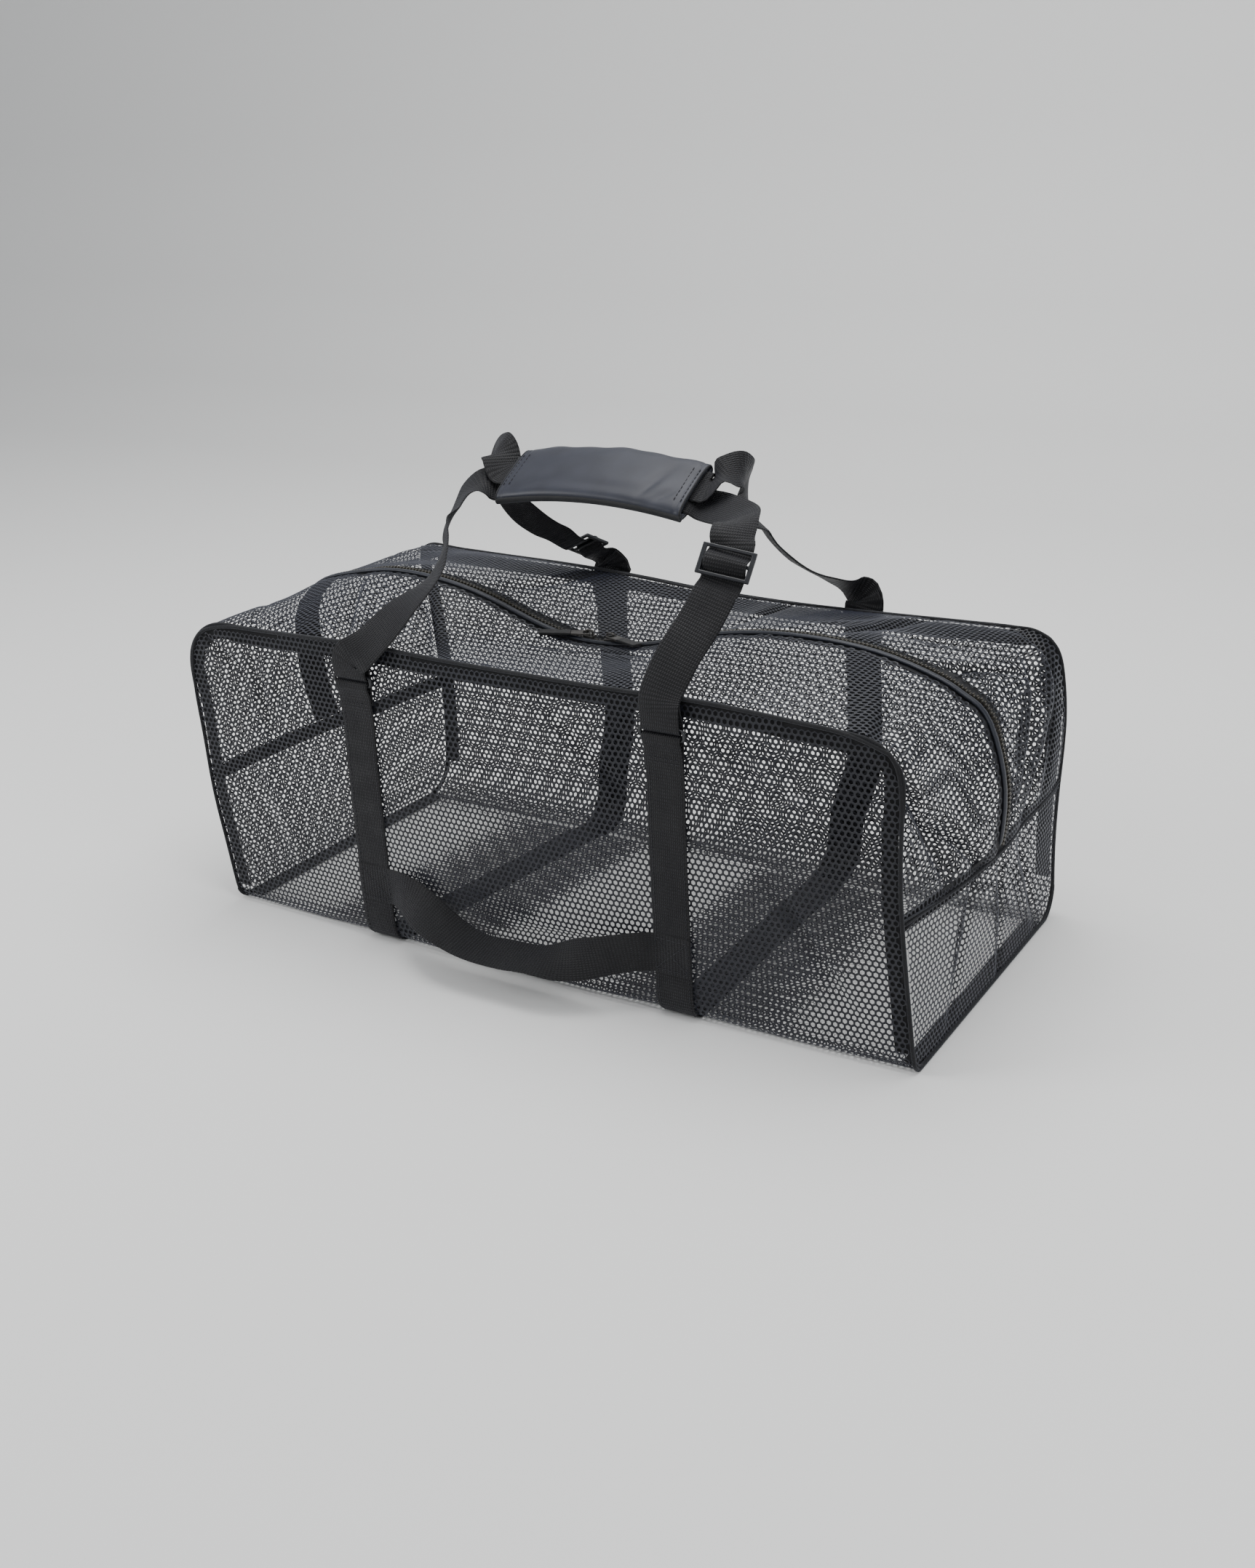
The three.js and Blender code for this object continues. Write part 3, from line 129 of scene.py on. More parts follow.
def finished(obj, name):
    """A plain mesh of what the object's modifiers make."""
    bpy.context.view_layer.update()
    graph = bpy.context.evaluated_depsgraph_get()
    mesh = bpy.data.meshes.new_from_object(obj.evaluated_get(graph), depsgraph=graph)
    mesh.name = name
    bpy.data.objects.remove(obj)
    return link(bpy.data.objects.new(name, mesh))


WELD = 2e-5


def welded(node):
    """The node's mesh with its vertices joined, as arrays of points and triangles."""
    form = opened(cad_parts[node].data)
    bmesh.ops.remove_doubles(form, verts=form.verts, dist=WELD)
    bmesh.ops.triangulate(form, faces=form.faces)
    form.verts.ensure_lookup_table()
    points = np.array([v.co[:] for v in form.verts])
    triangles = np.array([[v.index for v in f.verts] for f in form.faces])
    form.free()
    return points, triangles


def lengths(vectors):
    return np.linalg.norm(vectors, axis=1)[:, None]


def distances(points):
    """How far each point of a polyline lies from its start, along the line."""
    return np.concatenate([[0], np.cumsum(lengths(np.diff(points, axis=0)))])


def read_at(where, at, values):
    """Rows of values placed at distances at, read in straight steps at the distances where."""
    return np.stack([np.interp(where, at, values[:, k]) for k in range(3)], -1)


def ring_faces(rows, sides):
    """Four-sided faces between rows of points that go round."""
    faces = []
    for i in range(rows - 1):
        for k in range(sides):
            a, b = i * sides + k, i * sides + (k + 1) % sides
            faces.append((a, b, b + sides, a + sides))
    return faces


def smooth_line(values, at, where):
    """Catmull-Rom through rows of values placed at distances at, read at the distances where."""
    k = np.clip(np.searchsorted(at, where, side="right") - 1, 0, len(at) - 2)
    t = ((where - at[k]) / (at[k + 1] - at[k]))[:, None]
    slope = np.gradient(values, at, axis=0)
    step = (at[k + 1] - at[k])[:, None]
    a, b = values[k], values[k + 1]
    h = t * t * (3 - 2 * t)
    return a + (b - a) * h + step * (t * (1 - t) ** 2 * slope[k] + t * t * (t - 1) * slope[k + 1])


def dress(obj, body, material, replaces=()):
    """Gives a piece its material, its body and the nodes that it stands for."""
    obj.data.materials.clear()
    obj.data.materials.append(material)
    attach(obj, body)
    if replaces:
        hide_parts(*replaces)
    return obj


def triangles_of(obj):
    return sum(len(p.vertices) - 2 for p in obj.data.polygons)


# %% [markdown]
# Node trees are written as calls: each one makes a node and feeds its inputs by name, with a link or a
# value. Finishes are made this way on Object coordinates, or on a UV map where they follow a band.

# %% Helpers for nodes and finishes
NOISE_LOW = 0.3
NOISE_HIGH = 0.7


class Nodes:
    def __init__(self, tree):
        self.tree = tree

    def feed(self, socket, value):
        if isinstance(value, bpy.types.NodeSocket):
            self.tree.links.new(value, socket)
        else:
            socket.default_value = value

    def fill(self, node, **inputs):
        for key, value in inputs.items():
            self.feed(node.inputs[key.replace("_", " ")], value)
        return node

    def put(self, kind, settings=(), **inputs):
        made = self.tree.nodes.new(kind)
        for key, value in dict(settings).items():
            setattr(made, key, value)
        return self.fill(made, **inputs)

    def maths(self, operation, a, b=0.0):
        made = self.put("ShaderNodeMath", {"operation": operation})
        self.feed(made.inputs[0], a)
        self.feed(made.inputs[1], b)
        return made.outputs[0]


class Finish(Nodes):
    def __init__(self, name, colour, roughness, metallic=0.0):
        self.material = bpy.data.materials.new(name)
        self.material.use_nodes = True
        super().__init__(self.material.node_tree)
        self.colour = colour
        self.shader = self.tree.nodes["Principled BSDF"]
        self.fill(self.shader, Base_Color=(*colour, 1), Roughness=roughness, Metallic=metallic)

    def where(self, uv=False):
        return self.put("ShaderNodeTexCoord").outputs["UV" if uv else "Object"]

    def noise(self, where, scale, detail=3.0):
        return self.put("ShaderNodeTexNoise", Vector=where, Scale=scale, Detail=detail).outputs["Fac"]

    def spread(self, factor, low, high):
        """Maps a noise, which stays near its middle, to a range of numbers."""
        made = self.put("ShaderNodeMapRange", From_Min=NOISE_LOW, From_Max=NOISE_HIGH)
        self.fill(made, Value=factor, To_Min=low, To_Max=high)
        return made.outputs["Result"]

    def bump(self, height, strength, distance):
        made = self.put("ShaderNodeBump", Height=height, Strength=strength, Distance=distance)
        self.fill(self.shader, Normal=made.outputs["Normal"])

    def tint(self, factor, low, high):
        """Shifts the base colour between two brightnesses of itself."""
        dark, bright = ((*[c * share for c in self.colour], 1) for share in (low, high))
        made = self.put("ShaderNodeMix", {"data_type": "RGBA"}, A=dark, B=bright, Factor=factor)
        self.fill(self.shader, Base_Color=made.outputs["Result"])

    def rough(self, factor, low, high):
        self.fill(self.shader, Roughness=self.spread(factor, low, high))

    def shine(self, level):
        self.fill(self.shader, Specular_IOR_Level=level)

    def sheen(self, weight, colour):
        self.fill(self.shader, Sheen_Weight=weight, Sheen_Tint=(*colour, 1))


def wave(finish, coordinate, period):
    """A ridge that repeats along one coordinate, from 0 to 1."""
    angle = finish.maths("MULTIPLY", coordinate, 2 * math.pi / period)
    lifted = finish.maths("ADD", finish.maths("SINE", angle), 1.0)
    return finish.maths("MULTIPLY", lifted, 0.5)


# %% [markdown]
# The net is knitted from a shiny thread, so it keeps a soft blue-grey sheen although it is nearly black.
# Webbing is woven: fine ribs run across it, broken up by finer lines along it. The waves make its bumps and
# also
# its colour: painted highlight on the rib tops and painted shade between them. Both waves sit in the UV map
# of the band, which holds metres along and across it, so they follow every twist.

# %% Finishes
def net_finish():
    f = Finish("net", (0.006, 0.0065, 0.010), 0.45)
    grain = f.noise(f.where(), 900.0)
    f.rough(grain, 0.38, 0.55)
    patches = f.noise(f.where(), 7.0)
    f.tint(f.spread(patches, 0.0, 1.0), 0.8, 1.4)
    f.bump(grain, 0.35, 0.0003)
    f.sheen(0.08, (0.6, 0.68, 1.0))
    f.shine(0.4)
    return f.material


def woven_finish(name, colour, rib, line, depth):
    f = Finish(name, colour, 0.6)
    parts = f.put("ShaderNodeSeparateXYZ", Vector=f.where(uv=True))
    ribs = wave(f, parts.outputs["X"], rib)
    lines = wave(f, parts.outputs["Y"], line)
    fuzz = f.noise(f.where(), 600.0)
    weave_and_painted_shading = f.maths("ADD", f.maths("MULTIPLY", ribs, lines), f.maths("MULTIPLY", fuzz, 0.4))
    # The base colour follows the weave's height: painted highlight on the rib tops, painted shade in the
    # grooves.
    f.tint(weave_and_painted_shading, 0.35, 2.2)
    f.bump(weave_and_painted_shading, 1.0, depth)
    f.rough(f.noise(f.where(), 40.0), 0.52, 0.7)
    f.sheen(0.05, (0.8, 0.82, 1.0))
    f.shine(0.28)
    return f.material


def cloth_finish(name, colour, grain_scale, depth, roughness, sheen=0.05):
    f = Finish(name, colour, roughness)
    weave = f.noise(f.where(), grain_scale)
    f.bump(weave, 0.5, depth)
    f.tint(f.spread(f.noise(f.where(), 45.0), 0.0, 1.0), 0.85, 1.2)
    f.rough(f.noise(f.where(), 25.0), roughness - 0.07, roughness + 0.07)
    f.sheen(sheen, (0.8, 0.85, 1.0))
    f.shine(0.35)
    return f.material


def moulded_finish(name, colour, low, high, metallic=0.0):
    f = Finish(name, colour, low, metallic)
    f.rough(f.noise(f.where(), 120.0), low, high)
    f.bump(f.noise(f.where(), 1500.0), 0.15, 0.0001)
    return f.material


NET = net_finish()
WEBBING = woven_finish("webbing", (0.0045, 0.0045, 0.0052), 0.0031, 0.0021, 0.0008)
TAPE = cloth_finish("binding", (0.006, 0.006, 0.007), 1800.0, 0.0003, 0.8)
PIPING = cloth_finish("piping", (0.011, 0.013, 0.020), 2200.0, 0.0002, 0.4)
GRIP = cloth_finish("grip", (0.019, 0.021, 0.031), 2600.0, 0.00015, 0.42)
BOUND = cloth_finish("bound_edge", (0.012, 0.012, 0.012), 700.0, 0.0008, 0.85, 0.15)
SEAM = cloth_finish("seam_cloth", (0.007, 0.007, 0.008), 420.0, 0.0014, 0.85, 0.1)
THREAD = cloth_finish("thread", (0.018, 0.018, 0.022), 3000.0, 0.0001, 0.5)
PLASTIC = moulded_finish("moulded_plastic", (0.012, 0.013, 0.016), 0.28, 0.42)
TEETH = moulded_finish("zip_teeth", (0.034, 0.030, 0.022), 0.3, 0.45)
METAL = moulded_finish("gunmetal", (0.11, 0.105, 0.10), 0.32, 0.5, 0.9)
RUBBER = moulded_finish("rubber", (0.008, 0.008, 0.009), 0.5, 0.65)
print("finishes", len(bpy.data.materials))

# %% [markdown]
# The net panels. The real cloth is one warp-knitted net with six-sided holes, about 5.8 mm apart. Here each
# panel of the part first gives a smooth carrier: its outer face, rounded by subdivision, with the soft
# folds that the slack net makes. Each point of a carrier also gets its place on the flat cloth.

# %% Flat places on the net
HALF_LENGTH = 0.375
HALF_DEPTH = 0.169
HEIGHT = 0.296
CORNER_R = 0.038
FOLD_FRONT = 0.016
FOLD_BACK = 0.034


def arc(centre, radius, start, stop, steps=12):
    angles = np.radians(np.linspace(start, stop, steps + 1))
    return [(centre[0] + radius * math.cos(a), centre[1] + radius * math.sin(a)) for a in angles]


# The wrap unrolls along y and z: down the front, under the base and up the back.
WRAP_TOP = 0.34
WRAP_LINE = np.array(
    [(-HALF_DEPTH, WRAP_TOP)]
    + arc((-HALF_DEPTH + FOLD_FRONT, FOLD_FRONT), FOLD_FRONT, 180, 270)
    + arc((HALF_DEPTH - FOLD_BACK, FOLD_BACK), FOLD_BACK, 270, 360)
    + [(HALF_DEPTH, WRAP_TOP)]
)
WRAP = {"line": WRAP_LINE, "axes": [1, 2], "across": 0}
# The strip over the top and down both ends unrolls along x and z, from the right foot to the left one.
STRIP_FOOT = -0.01
STRIP_LINE = np.array(
    [(HALF_LENGTH, STRIP_FOOT)]
    + arc((HALF_LENGTH - CORNER_R, HEIGHT - CORNER_R), CORNER_R, 0, 90)
    + arc((CORNER_R - HALF_LENGTH, HEIGHT - CORNER_R), CORNER_R, 90, 180)
    + [(-HALF_LENGTH, STRIP_FOOT)]
)
STRIP = {"line": STRIP_LINE, "axes": [0, 2], "across": 1}


def unroll(points, line, axes):
    """Distance along a line for each point, and the line's outward direction there."""
    p = points[:, axes]
    a, b = line[:-1], line[1:]
    d = b - a
    length = np.linalg.norm(d, axis=1)
    start = np.concatenate([[0], np.cumsum(length)[:-1]])
    t = ((p[:, None] - a) * d).sum(2) / length**2
    t = np.clip(t, 0, 1)
    away = np.linalg.norm(p[:, None] - (a + t[..., None] * d), axis=2)
    k = away.argmin(1)
    row = np.arange(len(p))
    outward = np.stack([d[:, 1], -d[:, 0]], 1) / length[:, None]
    return start[k] + t[row, k] * length[k], outward[k]


# %% [markdown]
# Folds of the slack cloth: each row is one soft fold, by its place on the flat cloth in metres, the
# direction it runs in, in degrees, and its length, width and height in millimetres. They are read off the
# photograph: long pulls from the corners, dents beside the handles, and ripples where the zip is let down
# between them. A crease has a raised lip on one side and draws the cloth towards it, so the net is
# denser there.

# %% Folds
FOLD_COLUMNS = ("along", "x", "turn", "length", "width", "height")


def table(columns, rows):
    """Rows of numbers as dictionaries, by the names of their columns."""
    return [dict(zip(columns, row)) for row in rows]


WRAP_FRONT_FOLDS = table(FOLD_COLUMNS, [
    (0.098, -0.281, 118, 32, 6, -6.0),
    (0.105, -0.306, 80, 35, 6, -5.0),
    (0.066, -0.355, 33, 26, 5, -6.0),
    (0.095, 0.070, 40, 50, 7, -5.0),
    (0.079, 0.215, 27, 26, 6, -7.0),
    (0.069, 0.239, 17, 22, 5, -6.0),
    (0.110, 0.270, -35, 55, 7, -5.0),
    (0.250, -0.040, 8, 110, 12, 3.0),
    (0.285, 0.030, -6, 100, 8, -4.0),
    (0.240, 0.290, 55, 60, 8, -5.0),
    (0.215, -0.300, 70, 80, 12, 3.0),
])
TOP_FOLDS = table(FOLD_COLUMNS, [
    (0.226, -0.140, -59, 85, 10, -18.0),
    (0.198, -0.090, -46, 75, 9, -16.0),
    (0.209, -0.172, -59, 28, 5, -7.0),
    (0.229, 0.067, 54, 75, 9, -16.0),
    (0.200, 0.095, 55, 60, 7, -12.0),
    (0.250, 0.135, 75, 65, 8, -12.0),
    (0.319, 0.035, -38, 55, 8, -11.0),
    (0.375, 0.077, -68, 28, 6, -7.0),
    (0.330, -0.110, 15, 60, 8, -5.0),
    (0.430, 0.090, -12, 90, 8, -5.0),
    (0.470, 0.060, -20, 80, 8, 3.0),
    (0.610, -0.050, 75, 40, 6, -5.0),
    (0.690, -0.045, 100, 40, 6, -5.0),
    (0.812, -0.092, 41, 72, 8, -10.0),
    (0.902, -0.100, 35, 84, 8, -10.0),
    (0.560, 0.100, 5, 80, 8, -5.0),
    (0.800, 0.090, -10, 80, 8, -5.0),
    (1.080, -0.060, 60, 55, 6, -8.0),
    (1.060, 0.080, -55, 55, 6, -8.0),
])
END_FOLDS = table(FOLD_COLUMNS, [
    (0.095, -0.070, 70, 55, 8, -9.0),
    (0.080, 0.010, 100, 60, 8, -8.0),
    (0.085, 0.080, 120, 50, 8, -8.0),
])
# The lip's height, place and width are shares of the crease's, and so is the reach of its pull.
FOLD_STRENGTH = 0.8
LIP = 0.3
LIP_PLACE = 1.9
LIP_WIDTH = 1.1
PINCH = 0.9
PINCH_HEIGHT = 12
PINCH_REACH = 2.6
# Folds fade out beside the straps, which hold the net. These are the straps' middles on each side.
STRAPS = {"front": (-0.179, 0.158), "back": (-0.132, 0.161)}
STRAP_CLEAR = 0.021
STRAP_FADE = 0.012


def folded(folds, along, x):
    """What the folds do at each flat place: height, and the pull across and along towards the crease."""
    height, pull_x, pull_along = np.zeros((3, len(along)))
    for f in folds:
        a = math.radians(f["turn"])
        du, dv = x - f["x"], along - f["along"]
        lengthwise = (du * math.cos(a) + dv * math.sin(a)) / (f["length"] * MM)
        aside = dv * math.cos(a) - du * math.sin(a)
        sideways = aside / (f["width"] * MM)
        reach = np.exp(-(lengthwise**2))
        lip = LIP * np.exp(-(((sideways - LIP_PLACE) / LIP_WIDTH) ** 2))
        crease = np.exp(-(sideways**2)) - lip
        height += FOLD_STRENGTH * f["height"] * MM * crease * reach
        share = PINCH * min(1, max(0, -f["height"]) / PINCH_HEIGHT)
        pull = -share * aside * np.exp(-((sideways / PINCH_REACH) ** 2)) * reach
        pull_x -= math.sin(a) * pull
        pull_along += math.cos(a) * pull
    return height, pull_x, pull_along


def strap_fade(x, straps):
    away = np.min([np.abs(x - s) for s in straps], axis=0)
    return np.clip((away - STRAP_CLEAR) / STRAP_FADE, 0, 1)


# %% [markdown]
# A carrier is cut from the part's own node: the faces that look outwards are welded, turned back into
# four-sided faces and subdivided. Its edge is kept, so neighbouring panels still meet at their seams.

# %% Carriers
FACING = 0.5
CARRIER_LEVELS = 3
BESIDE_EDGE = 0.343


def vertex_values(mesh, key):
    values = np.zeros(len(mesh.vertices) * 3)
    mesh.vertices.foreach_get(key, values)
    return values.reshape(-1, 3)


def freedom(mesh):
    """How far each vertex may follow a fold: not at all on the edge, and less than others beside it."""
    share = np.ones(len(mesh.vertices))
    form = opened(mesh)
    rim = {v.index for v in form.verts if v.is_boundary}
    near = {e.other_vert(v).index for v in form.verts if v.index in rim for e in v.link_edges}
    form.free()
    share[list(near)] = BESIDE_EDGE
    share[list(rim)] = 0
    return share


def outer_sheet(node, line, axes):
    """The outer faces of a node as one smooth sheet."""
    points, triangles = welded(node)
    a, b, c = (points[triangles[:, k]] for k in range(3))
    normal = np.cross(b - a, c - a)
    normal /= lengths(normal)
    _, outward = unroll((a + b + c) / 3, line, axes)
    facing = (normal[:, axes] * outward).sum(1) > FACING
    sheet = make_object("carrier_" + node, points, triangles[facing])
    form = opened(sheet.data)
    bmesh.ops.delete(form, geom=[v for v in form.verts if not v.link_faces], context="VERTS")
    bmesh.ops.join_triangles(
        form, faces=form.faces, angle_face_threshold=0.7, angle_shape_threshold=0.9
    )
    written(form, sheet.data)
    rounding = sheet.modifiers.new("rounding", "SUBSURF")
    rounding.levels = rounding.render_levels = CARRIER_LEVELS
    rounding.boundary_smooth = "PRESERVE_CORNERS"
    return finished(sheet, "carrier_" + node)


def carrier(node, way, folds, straps=None):
    line, axes = way["line"], way["axes"]
    sheet = outer_sheet(node, line, axes)
    mesh = sheet.data
    places = vertex_values(mesh, "co")
    normals = vertex_values(mesh, "normal")
    along, outward = unroll(places, line, axes)
    across = places[:, way["across"]].copy()
    height, pull_x, pull_along = folded(folds, along, across)
    if straps:
        front, back = (strap_fade(across, straps[key]) for key in ("front", "back"))
        clear = np.where(places[:, 1] < 0, front, back)
        height, pull_x, pull_along = height * clear, pull_x * clear, pull_along * clear
    free = freedom(mesh)
    places += normals * (height * free)[:, None]
    places[:, way["across"]] += pull_x * free
    places[:, axes[0]] -= outward[:, 1] * pull_along * free
    places[:, axes[1]] += outward[:, 0] * pull_along * free
    mesh.vertices.foreach_set("co", places.ravel())
    flat = np.stack([across, along], 1).astype(np.float32)
    add_uv(mesh, "flat", flat)
    mesh.update()
    return sheet, flat


carriers = {
    "net_wrap": carrier("net_wrap", WRAP, WRAP_FRONT_FOLDS, STRAPS),
    "end_panel_right": carrier("end_panel_right", STRIP, END_FOLDS),
    "end_panel_left": carrier("end_panel_left", STRIP, []),
    "top_panel_front": carrier("top_panel_front", STRIP, TOP_FOLDS),
    "top_panel_back": carrier("top_panel_back", STRIP, TOP_FOLDS),
}
for name, (sheet, flat) in carriers.items():
    print(name, len(sheet.data.polygons), "faces, flat", flat.min(0).round(3), flat.max(0).round(3))

# %% [markdown]
# The holes. Geometry Nodes lays a flat grid of hexagons, finds each corner's place on the carrier through
# the flat UV map, and cuts a hole in each hexagon: every face is extruded by nothing, its copy shrunk,
# and the copy deleted. What is left are the strands. The inner rim sinks a little, so that a strand
# is roof-shaped and catches the light as a round thread does.

# %% The net's node group
PITCH = 0.0058
STRAND = 0.0020
SINK = 0.0004
SPARE_ROWS = 3.0
BEYOND = 10.0
NET_INPUTS = [
    "Low Across", "High Across", "Low Along", "High Along",
    "From Along", "To Along", "Pitch", "Strand", "Sink",
]


def new_group(name, kinds):
    """A geometry group with inputs of the given kinds, the helper that fills it, and what it is given."""
    group = bpy.data.node_groups.new(name, "GeometryNodeTree")
    for key, kind in {"Geometry": "Geometry", **kinds, "Material": "Material"}.items():
        group.interface.new_socket(key, in_out="INPUT", socket_type="NodeSocket" + kind)
    group.interface.new_socket("Geometry", in_out="OUTPUT", socket_type="NodeSocketGeometry")
    return Nodes(group), group.nodes.new("NodeGroupInput").outputs


def closed_group(n, given, made):
    """Ends a group with real meshes in the material that it is given."""
    real = n.put("GeometryNodeRealizeInstances", Geometry=made)
    painted = n.put("GeometryNodeSetMaterial", Geometry=real.outputs[0], Material=given["Material"])
    n.feed(n.put("NodeGroupOutput").inputs[0], painted.outputs[0])
    return n.tree


def net_group():
    n, given = new_group("hexagon_net", dict.fromkeys(NET_INPUTS, "Float"))
    maths = n.maths
    pitch = given["Pitch"]
    low_x, high_x = given["Low Across"], given["High Across"]
    low_y, high_y = given["Low Along"], given["High Along"]
    row = maths("MULTIPLY", pitch, math.sqrt(3) / 2)
    columns = maths("CEIL", maths("DIVIDE", maths("SUBTRACT", high_x, low_x), pitch))
    columns = maths("ADD", columns, SPARE_ROWS)
    rows = maths("CEIL", maths("DIVIDE", maths("SUBTRACT", high_y, low_y), row))
    rows = maths("ADD", rows, SPARE_ROWS)
    grid = n.put("GeometryNodeMeshGrid", Vertices_X=columns, Vertices_Y=rows)
    n.feed(grid.inputs["Size X"], maths("MULTIPLY", maths("SUBTRACT", columns, 1.0), pitch))
    n.feed(grid.inputs["Size Y"], maths("MULTIPLY", maths("SUBTRACT", rows, 1.0), row))
    # Every second row slides by half a pitch, so that the triangles are even.
    place = n.put("ShaderNodeSeparateXYZ", Vector=n.put("GeometryNodeInputPosition").outputs[0])
    step = maths("ROUND", maths("DIVIDE", place.outputs["Y"], row))
    odd = maths("MODULO", maths("ABSOLUTE", step), 2.0)
    slide = maths("MULTIPLY", odd, maths("MULTIPLY", pitch, 0.5))
    middle_x = maths("MULTIPLY", maths("ADD", high_x, low_x), 0.5)
    middle_y = maths("MULTIPLY", maths("ADD", high_y, low_y), 0.5)
    offset = n.put("ShaderNodeCombineXYZ", X=maths("ADD", slide, middle_x), Y=middle_y).outputs[0]
    shifted = n.put("GeometryNodeSetPosition", Geometry=grid.outputs["Mesh"], Offset=offset)
    cut = n.put("GeometryNodeTriangulate", {"quad_method": "SHORTEST_DIAGONAL"}, Mesh=shifted.outputs[0])
    # The dual of even triangles is a grid of hexagons. Its flat place is kept as its UV map.
    cells = n.put("GeometryNodeDualMesh", Mesh=cut.outputs[0])
    flat_place = n.put("GeometryNodeInputPosition").outputs[0]
    stored = n.put("GeometryNodeStoreNamedAttribute", {"data_type": "FLOAT2", "domain": "POINT"})
    n.fill(stored, Geometry=cells.outputs[0], Name="along", Value=flat_place)
    where = n.put("GeometryNodeInputNamedAttribute", {"data_type": "FLOAT_VECTOR"}, Name="flat")
    sample = n.put("GeometryNodeSampleUVSurface", {"data_type": "FLOAT_VECTOR"})
    n.fill(
        sample,
        Mesh=given["Geometry"],
        Value=n.put("GeometryNodeInputPosition").outputs[0],
        Source_UV_Map=where.outputs["Attribute"],
        Sample_UV=flat_place,
    )
    # Corners off the carrier, or outside the length asked for, are dropped.
    split = n.put("ShaderNodeSeparateXYZ", Vector=flat_place)
    below = maths("LESS_THAN", split.outputs["Y"], given["From Along"])
    above = maths("GREATER_THAN", split.outputs["Y"], given["To Along"])
    missed = maths("SUBTRACT", 1.0, sample.outputs["Is Valid"])
    dropped = maths("GREATER_THAN", maths("ADD", maths("ADD", below, above), missed), 0.5)
    trim = n.put("GeometryNodeDeleteGeometry", {"domain": "POINT"})
    n.fill(trim, Geometry=stored.outputs[0], Selection=dropped)
    bent = n.put("GeometryNodeSetPosition", Geometry=trim.outputs[0], Position=sample.outputs["Value"])
    # The holes.
    extrude = n.put("GeometryNodeExtrudeMesh", {"mode": "FACES"}, Mesh=bent.outputs[0], Individual=True)
    n.fill(extrude, Offset_Scale=maths("MULTIPLY", given["Sink"], -1.0))
    top = extrude.outputs["Top"]
    open_share = maths("SUBTRACT", 1.0, maths("DIVIDE", given["Strand"], pitch))
    shrink = n.put("GeometryNodeScaleElements", {"domain": "FACE"}, Geometry=extrude.outputs["Mesh"])
    n.fill(shrink, Selection=top, Scale=open_share)
    holes = n.put("GeometryNodeDeleteGeometry", {"domain": "FACE"}, Geometry=shrink.outputs[0])
    n.fill(holes, Selection=top)
    return closed_group(n, given, holes.outputs[0])


def add_group(obj, group, values):
    """Adds a node group to an object and sets its inputs by the identifiers of their sockets."""
    modifier = obj.modifiers.new(group.name, "NODES")
    modifier.node_group = group
    found = {s.name: s.identifier for s in group.interface.items_tree if s.in_out == "INPUT"}
    for key, value in values.items():
        modifier[found[key]] = value


NET_GROUP = net_group()


def net_piece(name, node, from_along=-BEYOND, to_along=BEYOND):
    sheet, flat = carriers[node]
    work = link(bpy.data.objects.new(name, sheet.data.copy()))
    low, high = flat.min(0), flat.max(0)
    sides = (low[0], high[0], low[1], high[1], from_along, to_along, PITCH, STRAND, SINK)
    values = {key: float(value) for key, value in zip(NET_INPUTS, sides)}
    add_group(work, NET_GROUP, {**values, "Material": NET})
    piece = finished(work, name)
    piece.data.shade_smooth()
    dress(piece, "bag", NET, [node])
    return piece


# %% [markdown]
# The wrap is one cloth, but it is made in three pieces that share one grid, because a single mesh of
# all its strands would be heavy. The cuts run along the two base folds.

# %% Net panels
front_end = WRAP_TOP - FOLD_FRONT + FOLD_FRONT * math.pi / 2
base_end = front_end + 2 * HALF_DEPTH - FOLD_FRONT - FOLD_BACK
net_piece("net_front", "net_wrap", to_along=front_end)
net_piece("net_base", "net_wrap", from_along=front_end - PITCH, to_along=base_end)
net_piece("net_back", "net_wrap", from_along=base_end - PITCH)
for name in ("end_panel_right", "end_panel_left", "top_panel_front", "top_panel_back"):
    net_piece("net_" + name, name)

# %% [markdown]
# Bands. A strap in the part is a row of four-cornered sections. Reading them back, in order, gives the
# band's path and its twist, so the visible webbing can be finer: rounded edges, a section every 3 mm, and a
# UV map in metres along and across it.

# %% Bands read from the part
CAP_TOLERANCE = 3e-5


def ways_round(four, points):
    """The ways round a ring of four corners, from each start and in both directions."""
    four = list(four)
    first = four[0]
    far = max(four[1:], key=lambda k: np.linalg.norm(points[k] - points[first]))
    a, b = [k for k in four if k not in (first, far)]
    loop = [first, a, far, b]
    turned = [loop[k:] + loop[:k] for k in range(4)]
    return turned + [r[::-1] for r in turned]


